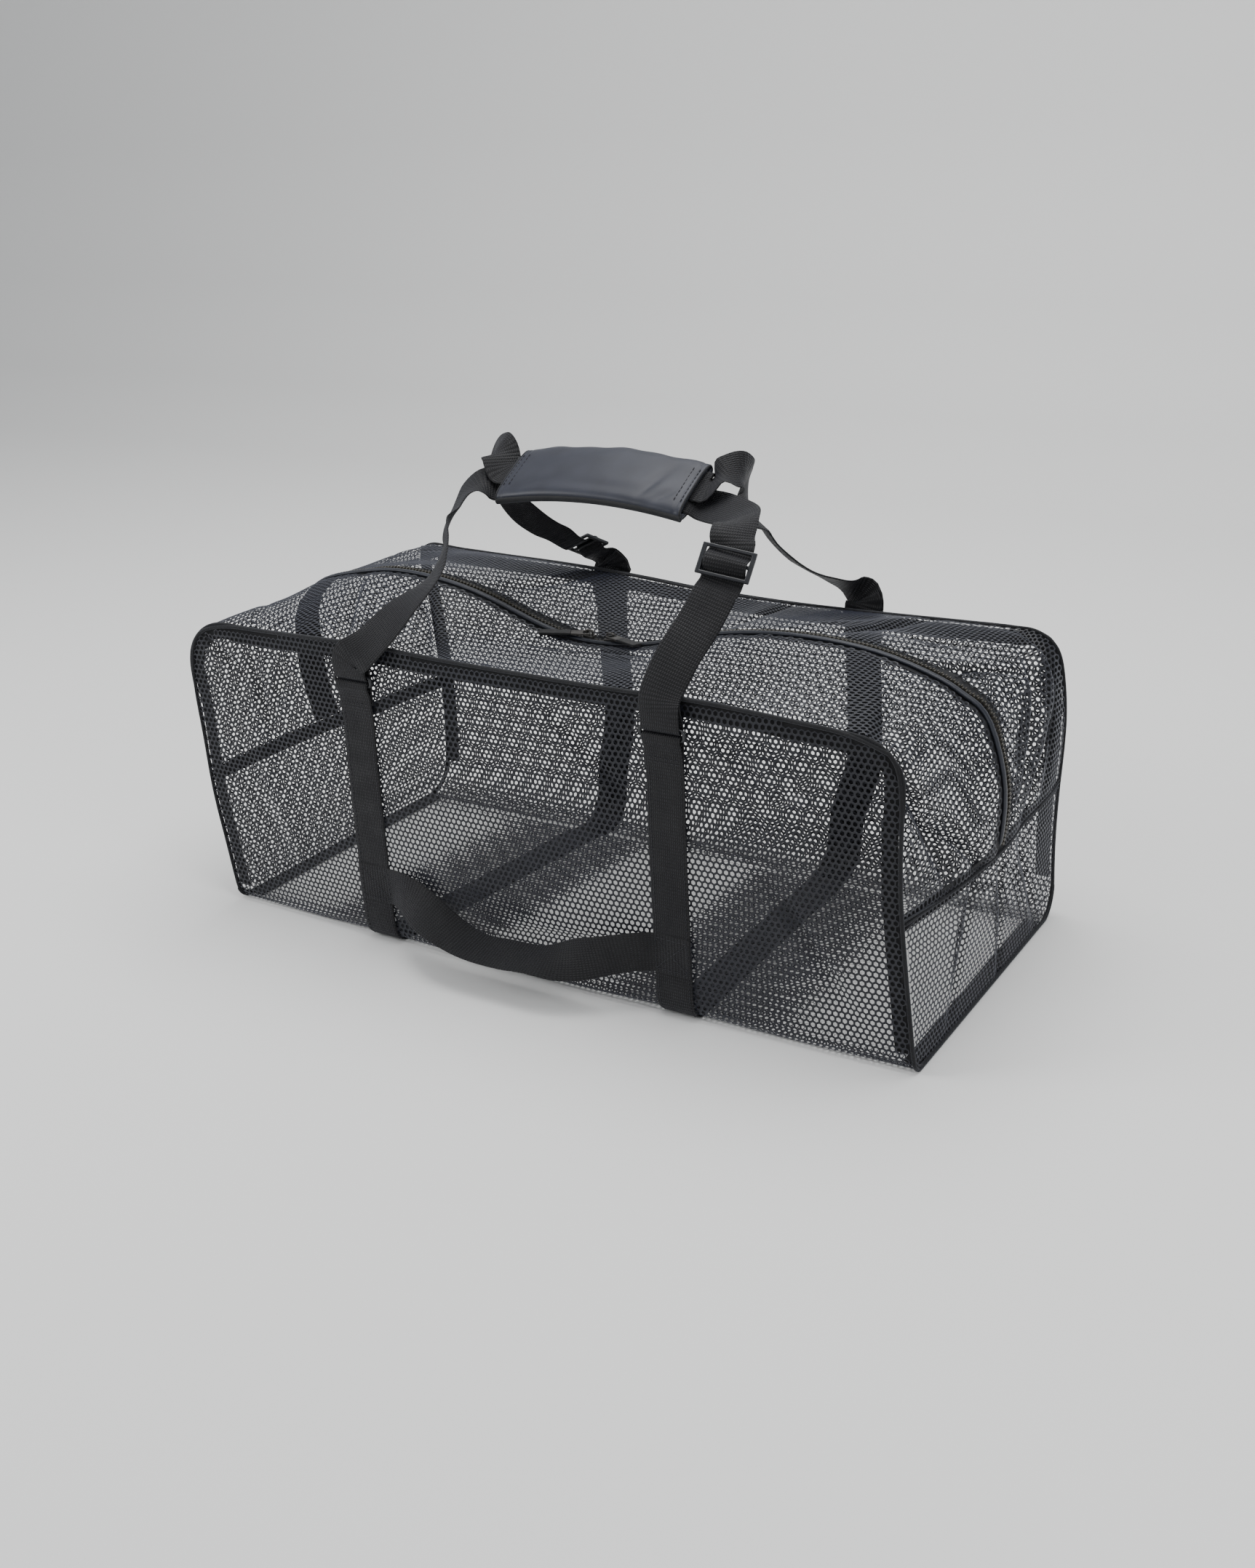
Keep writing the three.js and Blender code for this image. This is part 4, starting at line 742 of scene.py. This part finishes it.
def band_sections(node, width, thick):
    """The sections of a lofted band, in order: middle, half width and half thickness vectors."""
    points, triangles = welded(node)
    links = [set() for _ in points]
    for t in triangles:
        for k in range(3):
            links[t[k]].update((t[(k + 1) % 3], t[(k + 2) % 3]))
    slant = math.hypot(width, thick)
    caps = []
    for t in triangles:
        edges = sorted(np.linalg.norm(points[t[k]] - points[t[k - 1]]) for k in range(3))
        if np.allclose(edges, [thick, width, slant], atol=CAP_TOLERANCE):
            caps.append(t)
    first = set(caps[0].tolist())
    for t in caps[1:]:
        if len(first & set(t.tolist())) == 2:
            first |= set(t.tolist())
    ring = list(first)
    start = ring[0]
    beside = min(ring[1:], key=lambda k: np.linalg.norm(points[k] - points[start]))
    rest = [k for k in ring if k not in (start, beside)]
    across = min(rest, key=lambda k: np.linalg.norm(points[k] - points[beside]))
    last = next(k for k in rest if k != across)
    order = [start, beside, across, last]
    seen = set(order)
    rings = [order]
    while True:
        following = {j for k in rings[-1] for j in links[k] if j not in seen}
        if len(following) != 4:
            break
        seen |= following
        options = ways_round(following, points)
        here = points[rings[-1]]
        best = min(options, key=lambda o: np.linalg.norm(points[o] - here, axis=1).sum())
        rings.append(best)
    corners = points[np.array(rings)]
    middle = corners.mean(1)
    wide = (corners[:, 2] + corners[:, 3] - corners[:, 0] - corners[:, 1]) / 4
    tall = (corners[:, 1] + corners[:, 2] - corners[:, 0] - corners[:, 3]) / 4
    return middle, wide, tall


def resampled(sections, step):
    middle, wide, tall = sections
    at = distances(middle)
    where = np.linspace(0, at[-1], max(2, int(at[-1] / step)) + 1)
    middle = smooth_line(middle, at, where)
    half_wide = np.linalg.norm(wide, axis=1).mean()
    half_tall = np.linalg.norm(tall, axis=1).mean()
    wide = smooth_line(wide, at, where)
    wide *= half_wide / lengths(wide)
    tangent = np.gradient(middle, where, axis=0)
    tangent /= lengths(tangent)
    up = smooth_line(tall, at, where)
    up -= tangent * (up * tangent).sum(1)[:, None]
    up -= wide * ((up * wide).sum(1) / half_wide**2)[:, None]
    up *= half_tall / lengths(up)
    return {"at": where, "middle": middle, "wide": wide, "up": up}


# The outline of a band in shares of its half width and half thickness: one face, then the same turned over.
BAND_FACE = [
    (-1.0, 0.0), (-0.985, 0.6), (-0.93, 0.75), (-0.88, 1.0), (-0.4, 1.0),
    (0.0, 1.0), (0.4, 1.0), (0.88, 1.0), (0.93, 0.75), (0.985, 0.6),
]
BAND_PROFILE = BAND_FACE + [(-across, -up) for across, up in BAND_FACE]


def lofted(name, path):
    """A band along a path, closed at both ends."""
    sides = len(BAND_PROFILE)
    rows = len(path["at"])
    half = np.linalg.norm(path["wide"][0])
    points, uv = [], []
    for i in range(rows):
        for across, up in BAND_PROFILE:
            points.append(path["middle"][i] + across * path["wide"][i] + up * path["up"][i])
            uv.append((path["at"][i], across * half))
    faces = ring_faces(rows, sides)
    faces.append(tuple(range(sides))[::-1])
    faces.append(tuple(range((rows - 1) * sides, rows * sides)))
    return turned_outwards(make_object(name, points, faces, uv))


WEBBING_W = 0.038
WEBBING_T = 0.0018
BAND_STEP = 0.003
BANDS = ["body_strap_left", "body_strap_right", "handle_front", "handle_back", "low_handle"]
RINGS = ["ring_front_left", "ring_front_right", "ring_back_left", "ring_back_right"]
RING_REACH = 0.012
FOLD_GAP = 0.0001
RIPPLE = 0.0009
RIPPLE_LENGTH = 0.034
RIPPLE_FROM = 0.06
RIPPLE_ABOVE = 0.03
RIPPLE_FADE = 0.03
BAG_CENTRE = np.array([0, 0, 0.15])


def outward_sign(path):
    k = len(path["at"]) // 3
    return 1 if np.dot(path["middle"][k] - BAG_CENTRE, path["up"][k]) > 0 else -1


def rippled(path):
    """Small waves in a strap where it hangs on the net, always away from the bag."""
    up = path["up"] / lengths(path["up"])
    at = path["at"]
    phase = 2 * math.pi * at / RIPPLE_LENGTH
    waves = 0.5 + 0.3 * np.sin(phase) + 0.2 * np.sin(1.63 * phase + 1.0)
    ends = np.clip((np.minimum(at, at[-1] - at) - RIPPLE_FROM) / RIPPLE_FADE, 0, 1)
    upright = np.clip((path["middle"][:, 2] - RIPPLE_ABOVE) / RIPPLE_FADE, 0, 1)
    offset = outward_sign(path) * RIPPLE * waves * ends * upright
    path["middle"] = path["middle"] + up * offset[:, None]
    return path


def drawn_in(path):
    """Where a band bends round a ring, its fold settles towards the one that comes from the other side."""
    for ring in RINGS:
        centre = np.mean(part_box(ring), axis=0)
        gap = centre - path["middle"]
        away = np.linalg.norm(gap, axis=1)
        k = away.argmin()
        if away[k] > RING_REACH:
            continue
        pull = gap[k] * (1 - (WEBBING_T / 2 + FOLD_GAP) / away[k])
        near = np.exp(-(((path["at"] - path["at"][k]) / RING_REACH) ** 2))
        path["middle"] = path["middle"] + near[:, None] * pull
    return path


paths = {}
for node in BANDS:
    path = resampled(band_sections(node, WEBBING_W, WEBBING_T), BAND_STEP)
    if node.startswith("body_strap"):
        path = rippled(path)
    paths[node] = drawn_in(path)
    webbing = lofted("webbing_" + node, paths[node])
    dress(webbing, "bag", WEBBING, [node])
    print(node, "length", round(paths[node]["at"][-1], 3), triangles_of(webbing), "triangles")

# %% [markdown]
# The zip. Its teeth are moulded one by one on a tape, left and right in turn, and lock in the middle. The
# chain's path is read every 2 mm, and a node group sets one tooth at each point, turned along the path.
# Every second tooth sits on the other side. The same group lays the stitches further down.

# %% Zip teeth
TOOTH_PITCH = 0.0020
TOOTH_SIZE = (0.0015, 0.0044, 0.0026)
TOOTH_TAPER = 0.72
TOOTH_ASIDE = 0.0011
CHAIN_W = 0.0064
CHAIN_T = 0.0026
UNDER_ZIP = [0, 0, 0.12]


def repeat_group():
    n, given = new_group("repeat", {"Unit": "Object"})
    run, up = (
        n.put("GeometryNodeInputNamedAttribute", {"data_type": "FLOAT_VECTOR"}, Name=key)
        for key in ("unit_x", "unit_z")
    )
    align = "FunctionNodeAlignRotationToVector"
    align_x = n.put(align, {"axis": "X"}, Vector=run.outputs["Attribute"])
    align_z = n.put(align, {"axis": "Z", "pivot_axis": "X"}, Vector=up.outputs["Attribute"])
    n.fill(align_z, Rotation=align_x.outputs[0])
    source = n.put("GeometryNodeObjectInfo", Object=given["Unit"], As_Instance=True)
    copies = n.put("GeometryNodeInstanceOnPoints", Points=given["Geometry"])
    n.fill(copies, Instance=source.outputs["Geometry"], Rotation=align_z.outputs[0])
    return closed_group(n, given, copies.outputs[0])


REPEAT_GROUP = repeat_group()


def placed(name, unit, points, along, up, material):
    """Copies of a small unit mesh at points, each with its X along one vector and its Z near another."""
    holder = make_object(name + "_points", points, [])
    for key, values in (("unit_x", along), ("unit_z", up)):
        attribute = holder.data.attributes.new(key, "FLOAT_VECTOR", "POINT")
        attribute.data.foreach_set("vector", np.asarray(values, np.float32).ravel())
    add_group(holder, REPEAT_GROUP, {"Unit": unit, "Material": material})
    piece = finished(holder, name)
    bpy.data.objects.remove(unit)
    return piece


def unit_box(name, size, taper):
    """A small box whose top is tapered."""
    x, y, z = (s / 2 for s in size)
    low = [(-x, -y, -z), (x, -y, -z), (x, y, -z), (-x, y, -z)]
    high = [(px * taper, py * taper, z) for px, py, _ in low]
    faces = [(3, 2, 1, 0), (4, 5, 6, 7), (0, 1, 5, 4), (1, 2, 6, 5), (2, 3, 7, 6), (3, 0, 4, 7)]
    return make_object(name, low + high, faces, smooth=False)


chain = resampled(band_sections("zip_chain", CHAIN_W, CHAIN_T), TOOTH_PITCH)
wide = chain["wide"] / lengths(chain["wide"])
lift = chain["up"] / lengths(chain["up"])
lift = lift * np.where(((chain["middle"] - UNDER_ZIP) * lift).sum(1) < 0, -1, 1)[:, None]
run = np.gradient(chain["middle"], axis=0)
side = np.where(np.arange(len(run)) % 2 == 0, 1.0, -1.0)[:, None]
spots = chain["middle"] + side * wide * TOOTH_ASIDE
tooth = unit_box("tooth", TOOTH_SIZE, TOOTH_TAPER)
teeth = placed("zip_teeth", tooth, spots, run, lift, TEETH)
dress(teeth, "bag", TEETH, ["zip_chain"])
print("teeth", len(spots), triangles_of(teeth), "triangles")

# %% [markdown]
# Seams. Where two panels meet, their folded edges and a cord of thread stand up as a thin dark ridge. One
# tube runs along the wrap's own outline. Thinner ones follow the ends' middle seams and the outer edges
# of the top and end panels.

# %% Seam ridges
def outline(mesh):
    """The longest boundary of a mesh, as vertex indices in order."""
    form = opened(mesh)
    following = {}
    for e in form.edges:
        if e.is_boundary:
            a, b = (v.index for v in e.verts)
            following.setdefault(a, []).append(b)
            following.setdefault(b, []).append(a)
    form.free()
    loops = []
    while following:
        start = next(iter(following))
        loop, here, last = [start], start, None
        while True:
            onward = [k for k in following[here] if k != last]
            last, here = here, onward[0] if onward else start
            if here == start:
                break
            loop.append(here)
        for k in loop:
            following.pop(k, None)
        loops.append(loop)
    return max(loops, key=len)


def tube(name, points, radius, closed=False, sides=2):
    curve = bpy.data.curves.new(name, "CURVE")
    curve.dimensions = "3D"
    curve.bevel_depth = radius
    curve.bevel_resolution = sides
    curve.use_fill_caps = not closed
    line = curve.splines.new("POLY")
    line.points.add(len(points) - 1)
    for point, place in zip(line.points, points):
        point.co = (*place, 1)
    line.use_cyclic_u = closed
    made = finished(link(bpy.data.objects.new(name + "_line", curve)), name)
    made.data.shade_smooth()
    return made


RIDGE = 0.0019
RIDGE_INSET = 0.0010
MID_RIDGE = RIDGE * 0.6
EDGE_RIDGE = RIDGE * 0.75
MID_SEAM_Z = 0.1335
SEAM_SIDE = 0.1


def lifted(mesh, indices):
    """The places of some vertices, none of them lower than a ridge that lies on the floor."""
    line = [mesh.vertices[k].co.copy() for k in indices]
    for place in line:
        place.z = max(place.z, RIDGE)
    return line


wrap_mesh = carriers["net_wrap"][0].data
seam_line = lifted(wrap_mesh, outline(wrap_mesh))
for place in seam_line:
    if abs(place.y) > HALF_DEPTH - RIDGE_INSET:
        place.y -= math.copysign(RIDGE_INSET, place.y)
dress(tube("seam_roll", seam_line, RIDGE, closed=True), "bag", SEAM)
for which in ("right", "left"):
    mesh = carriers["end_panel_" + which][0].data
    tops = sorted((mesh.vertices[k].co.copy() for k in outline(mesh)), key=lambda p: p.y)
    tops = [p for p in tops if p.z > MID_SEAM_Z]
    dress(tube("mid_seam_roll_" + which, tops, MID_RIDGE), "bag", SEAM)
for node in ("top_panel_front", "top_panel_back", "end_panel_left", "end_panel_right"):
    sheet, flat = carriers[node]
    loop = outline(sheet.data)
    for side, ending in ((-1, "_edge_front"), (1, "_edge_back")):
        rim = [k for k in loop if flat[k, 0] * side > SEAM_SIDE]
        if not rim:
            continue
        rim.sort(key=lambda k: flat[k, 1])
        edge_roll = tube(node + ending, lifted(sheet.data, rim), EDGE_RIDGE)
        dress(edge_roll, "bag", SEAM)
print("seam", len(seam_line), "points")

# %% [markdown]
# Smooth copies. Rings, adjusters, sliders and pulls are plain in the part. A welded copy with a bevel gives
# their edges the small round that moulded plastic and cast metal have, and the highlight with it.

# %% Hardware
BEVEL_SEGMENTS = 2
SIDES = ("left", "right")


def eased(name, node, bevel_width):
    """A welded copy of a node with small bevels, or subdivided once if no bevel is given."""
    points, triangles = welded(node)
    work = make_object(name + "_work", points, triangles)
    form = opened(work.data)
    bmesh.ops.dissolve_limit(form, angle_limit=0.01, verts=form.verts, edges=form.edges)
    if not bevel_width:
        bmesh.ops.join_triangles(
            form, faces=form.faces, angle_face_threshold=0.6, angle_shape_threshold=1.0
        )
    written(form, work.data)
    if bevel_width:
        bevel = work.modifiers.new("bevel", "BEVEL")
        bevel.width = bevel_width
        bevel.segments = BEVEL_SEGMENTS
        bevel.limit_method = "ANGLE"
    else:
        rounding = work.modifiers.new("rounding", "SUBSURF")
        rounding.levels = rounding.render_levels = 1
    made = finished(work, name)
    shade(made.data, not bevel_width)
    return made


HARDWARE = [(ring, None, PLASTIC, "hard_plastic", "bag") for ring in RINGS]
HARDWARE += [("adjuster_" + leg, 0.0008, PLASTIC, "hard_plastic", "bag") for leg in ("front", "back")]
HARDWARE += [("slider_" + side, 0.0003, METAL, "slider", "bag") for side in SIDES]
HARDWARE += [("pull_" + side, 0.0003, METAL, "slider", "pull_" + side) for side in SIDES]
HARDWARE += [("tab_" + side, 0.0006, RUBBER, "pull_tab", "pull_" + side) for side in SIDES]
HARDWARE += [("zip_piping", None, PIPING, "binding", "bag")]
for node, bevel_width, material, slot, body in HARDWARE:
    dress(eased("visual_" + node, node, bevel_width), body, material, [node])
print("hardware", len(HARDWARE))

# %% [markdown]
# The grip is a padded sleeve of coated cloth that wraps both handles and closes with hook and loop. Its
# cross-section is a flat cushion: full in the middle, thin at the stitched long edges.

# %% Grip
GRIP_LENGTH = 0.201
GRIP_WIDTH = 0.068
GRIP_THICK = 0.015
GRIP_X = -0.0065
GRIP_Z = 0.428
GRIP_TILT = math.radians(28.8)
GRIP_ARCH = 0.009
GRIP_WALL = 0.0038
WIDE_POWER = 0.62
THICK_POWER = 0.72


def grip_point(along, across, up):
    x = GRIP_X + along * GRIP_LENGTH / 2
    z = GRIP_Z + GRIP_ARCH * (1 - along * along)
    c, s = math.cos(GRIP_TILT), math.sin(GRIP_TILT)
    return Vector((x, across * c - up * s, z + across * s + up * c))


def cushion(turn, half_wide, half_thick):
    """A point of the grip's outline, across and up. It is fuller than an ellipse."""
    c, s = math.cos(turn), math.sin(turn)
    across = math.copysign(abs(c) ** WIDE_POWER, c) * half_wide
    up = math.copysign(abs(s) ** THICK_POWER, s) * half_thick
    return across, up


HEM = 0.006
HEM_DIP = 0.0007
HEM_DIP_W = 0.0012
CREASE_COLUMNS = ("along", "across", "turn", "length", "width", "height")
CREASES = table(CREASE_COLUMNS, [
    (0.62, -0.006, 65, 0.020, 0.005, -0.0016),
    (0.80, -0.016, 50, 0.016, 0.004, -0.0012),
    (-0.55, -0.018, 20, 0.030, 0.005, -0.0009),
    (0.05, -0.020, 0, 0.060, 0.006, -0.0009),
    (-0.10, 0.018, 8, 0.040, 0.009, 0.0007),
])


def grip_height(along, across):
    """How far the cloth lies off the plain cushion: hems and creases."""
    from_end = (1 - abs(along)) * GRIP_LENGTH / 2
    height = -HEM_DIP * math.exp(-(((from_end - HEM) / HEM_DIP_W) ** 2))
    for c in CREASES:
        a = math.radians(c["turn"])
        du, dv = (along - c["along"]) * GRIP_LENGTH / 2, across - c["across"]
        lengthwise = (du * math.cos(a) + dv * math.sin(a)) / c["length"]
        sideways = (dv * math.cos(a) - du * math.sin(a)) / c["width"]
        height += c["height"] * math.exp(-lengthwise**2 - sideways**2)
    return height


GRIP_ROWS = 101
GRIP_SIDES = 72
# Two slow waves in the slack top edge: size, rate and start.
SLACK = [(0.0010, 7.5, 0.6), (0.0006, 17, 0)]


def grip_skin():
    points = []
    for i in range(GRIP_ROWS):
        along = -1 + 2 * i / (GRIP_ROWS - 1)
        puff = 0.93 + 0.07 * (1 - along**4)
        slack = sum(size * math.sin(rate * along + start) for size, rate, start in SLACK)
        for k in range(GRIP_SIDES):
            across, up = cushion(2 * math.pi * k / GRIP_SIDES, GRIP_WIDTH / 2, GRIP_THICK / 2)
            up *= puff
            if up > 0:
                up += grip_height(along, across)
            if across > 0:
                across += slack * (across / (GRIP_WIDTH / 2)) ** 2
            points.append(grip_point(along, across, up))
    return points, ring_faces(GRIP_ROWS, GRIP_SIDES)


grip = make_object("grip_sleeve", *grip_skin())
wall = grip.modifiers.new("wall", "SOLIDIFY")
wall.thickness = GRIP_WALL
wall.offset = -1
grip = turned_outwards(finished(grip, "grip_sleeve"))
grip.data.shade_smooth()
dress(grip, "bag", GRIP, ["grip_wrap"])

# The grip's lower edge is bound with a thick cloth, and both ends have a thin hem.
BOUND_R = 0.0036
BOUND_IN = 0.0012
BOUND_DOWN = 0.0016
BOUND_STEPS = 60
HEM_R = 0.0009
HEM_IN = 0.0006
HEM_HALF = 0.0066
HEM_END = 0.997
HEM_STEPS = 48
shares = [-1 + 2 * i / BOUND_STEPS for i in range(BOUND_STEPS + 1)]
edge = [grip_point(share, -GRIP_WIDTH / 2 + BOUND_IN, -BOUND_DOWN) for share in shares]
dress(tube("grip_binding", edge, BOUND_R, sides=4), "bag", BOUND)
for end, side in ((-1, "left"), (1, "right")):
    turns = [2 * math.pi * k / HEM_STEPS for k in range(HEM_STEPS)]
    ring = [cushion(turn, GRIP_WIDTH / 2 - HEM_IN, HEM_HALF) for turn in turns]
    line = [grip_point(end * HEM_END, across, up) for across, up in ring]
    dress(tube("grip_hem_" + side, line, HEM_R, closed=True), "bag", BOUND)
print("grip", triangles_of(grip), "triangles")

# %% [markdown]
# Stitches. Each is one short capsule of thread, laid along a row: down both edges of the body straps, in
# rows under the rings, in a crossed box where the low handle is sewn on, and round the grip's edges.

# %% Stitches
STITCH = 0.0034
STITCH_GAP = 0.0014
STITCH_W = 0.0007
STITCH_T = 0.0006
OFF_BAND = 0.00105
EDGE_ROW = 0.0155
EDGE_START = 0.055
CROSS_ROW = 0.016
CROSS_AT = (0.046, 0.050)
BOX = 0.015
BOX_FROM = 0.003
BOX_TO = 0.036
ROW_POINTS = 9
ROW_STEP = 0.004
STITCH_TAPER = 0.6
GRIP_CROSS = 0.022
GRIP_CROSS_AT = (-0.965, -0.90, 0.90, 0.965)
GRIP_CROSS_UP = GRIP_THICK / 2 * 0.97
GRIP_EDGE = 0.0275
GRIP_EDGE_END = 0.95
GRIP_EDGE_UP = GRIP_THICK / 2 * 0.66
GRIP_EDGE_POINTS = 31


def row_of(points, normals):
    """Stitch places along a polyline: middle, direction and normal of each."""
    points, normals = np.array(points), np.array(normals)
    at = distances(points)
    count = int(at[-1] / (STITCH + STITCH_GAP))
    if count < 1:
        return [], [], []
    where = (np.arange(count) + 0.5) * at[-1] / count
    ahead = read_at(where + MM / 2, at, points)
    behind = read_at(where - MM / 2, at, points)
    return list(read_at(where, at, points)), list(ahead - behind), list(read_at(where, at, normals))


def on_band(path, at, across, outward):
    """A point on the face of a band, and the face's direction there."""
    middle, wide_at, up_at = (read_at(at, path["at"], path[key]) for key in ("middle", "wide", "up"))
    wide_at /= np.linalg.norm(wide_at)
    up_at = outward * up_at / np.linalg.norm(up_at)
    return middle + wide_at * across + up_at * OFF_BAND, up_at


stitch_rows = []


def band_row(path, along, across, outward):
    """Adds a row on a band. Along and across are rows of distances, or one distance for the whole row."""
    places = zip(*np.broadcast_arrays(along, across))
    pairs = [on_band(path, s, a, outward) for s, a in places]
    stitch_rows.append(([p for p, _ in pairs], [n for _, n in pairs]))


for node in ("body_strap_left", "body_strap_right"):
    path = paths[node]
    sign = outward_sign(path)
    end = path["at"][-1]
    for across in (-EDGE_ROW, EDGE_ROW):
        band_row(path, np.arange(EDGE_START, end - EDGE_START, ROW_STEP), across, sign)
    for s in (*CROSS_AT, *(end - s for s in CROSS_AT)):
        band_row(path, s, np.linspace(-CROSS_ROW, CROSS_ROW, ROW_POINTS), sign)
path = paths["low_handle"]
sign = 1 if path["up"][0][1] < 0 else -1
end = path["at"][-1]
t = np.linspace(0, 1, ROW_POINTS)
for start, stop in ((BOX_FROM, BOX_TO), (end - BOX_TO, end - BOX_FROM)):
    corners = [(start, -BOX), (stop, -BOX), (stop, BOX), (start, BOX)]
    for first, last in ((0, 1), (1, 2), (2, 3), (3, 0), (0, 2), (3, 1)):
        (s0, a0), (s1, a1) = corners[first], corners[last]
        band_row(path, s0 + (s1 - s0) * t, a0 + (a1 - a0) * t, sign)
up_grip = grip_point(0, 0, 1) - grip_point(0, 0, 0)
grip_rows = []
for along in GRIP_CROSS_AT:
    aside = np.linspace(-GRIP_CROSS, GRIP_CROSS, ROW_POINTS)
    grip_rows.append([grip_point(along, a, GRIP_CROSS_UP) for a in aside])
stations = np.linspace(-GRIP_EDGE_END, GRIP_EDGE_END, GRIP_EDGE_POINTS)
grip_rows.append([grip_point(along, GRIP_EDGE, GRIP_EDGE_UP) for along in stations])
for line in grip_rows:
    stitch_rows.append((line, [up_grip] * len(line)))
spots, runs, ups = [], [], []
for line, normals in stitch_rows:
    middles, directions, faces_up = row_of(line, normals)
    spots += middles
    runs += directions
    ups += faces_up
thread = unit_box("stitch", (STITCH, STITCH_W, STITCH_T), STITCH_TAPER)
stitches = placed("stitches", thread, spots, runs, ups, THREAD)
dress(stitches, "bag", THREAD)
print("stitches", len(spots), triangles_of(stitches), "triangles")

# %% [markdown]
# The tapes inside the seams are the part's own nodes: dark woven tape that shows through the net.

# %% Tapes
TAPES = [
    "seam_tape_front", "seam_tape_back", "mid_tape_left", "mid_tape_right",
    "foot_tape_left", "foot_tape_right", "zip_tape_front", "zip_tape_back",
]
for node in TAPES:
    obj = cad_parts[node]
    obj.data.materials.clear()
    obj.data.materials.append(TAPE)
for sheet, _ in carriers.values():
    bpy.data.objects.remove(sheet)

# %% [markdown]
# A plain pale floor that curves up behind, and soft studio lights: a wide one overhead, a large
# one at the left front, and a weak one at the right, so that the holes read bright and the strands dark.

# %% Floor and lights
FLOOR_HALF = 5
FLOOR_PROFILE = [(-4, 0), (1.6, 0), (2.0, 0.06), (2.3, 0.25), (2.5, 0.6), (2.6, 4.5)]
LIGHTS = {
    "overhead": {"at": (0.1, 0.3, 2.4), "size": (2.4, 1.8), "energy": 62},
    "left_front": {"at": (-2.0, -1.5, 1.5), "size": (1.2, 1.2), "energy": 30},
    "right_front": {"at": (2.3, -0.9, 1.2), "size": (1.0, 1.0), "energy": 14},
}
WORLD_COLOUR = (0.95, 0.97, 1.0, 1)
WORLD_STRENGTH = 0.55

floor_points = [(x, y, z) for y, z in FLOOR_PROFILE for x in (-FLOOR_HALF, FLOOR_HALF)]
floor_faces = [(k, k + 1, k + 3, k + 2) for k in range(0, len(floor_points) - 2, 2)]
floor = make_object("floor", floor_points, floor_faces)
paper = Finish("paper", (0.80, 0.80, 0.79), 0.8)
floor.data.materials.append(paper.material)

for name, made in LIGHTS.items():
    data = bpy.data.lights.new(name, "AREA")
    data.shape = "RECTANGLE"
    data.size, data.size_y = made["size"]
    data.energy = made["energy"]
    lamp = link(bpy.data.objects.new(name, data))
    lamp.location = made["at"]
    aim = Vector(BAG_CENTRE) - Vector(made["at"])
    lamp.rotation_euler = aim.to_track_quat("-Z", "Y").to_euler()
world = bpy.data.worlds.new("studio")
world.use_nodes = True
Nodes(world.node_tree).fill(
    world.node_tree.nodes["Background"], Color=WORLD_COLOUR, Strength=WORLD_STRENGTH
)
bpy.context.scene.world = world
bpy.context.scene.view_settings.view_transform = "AgX"
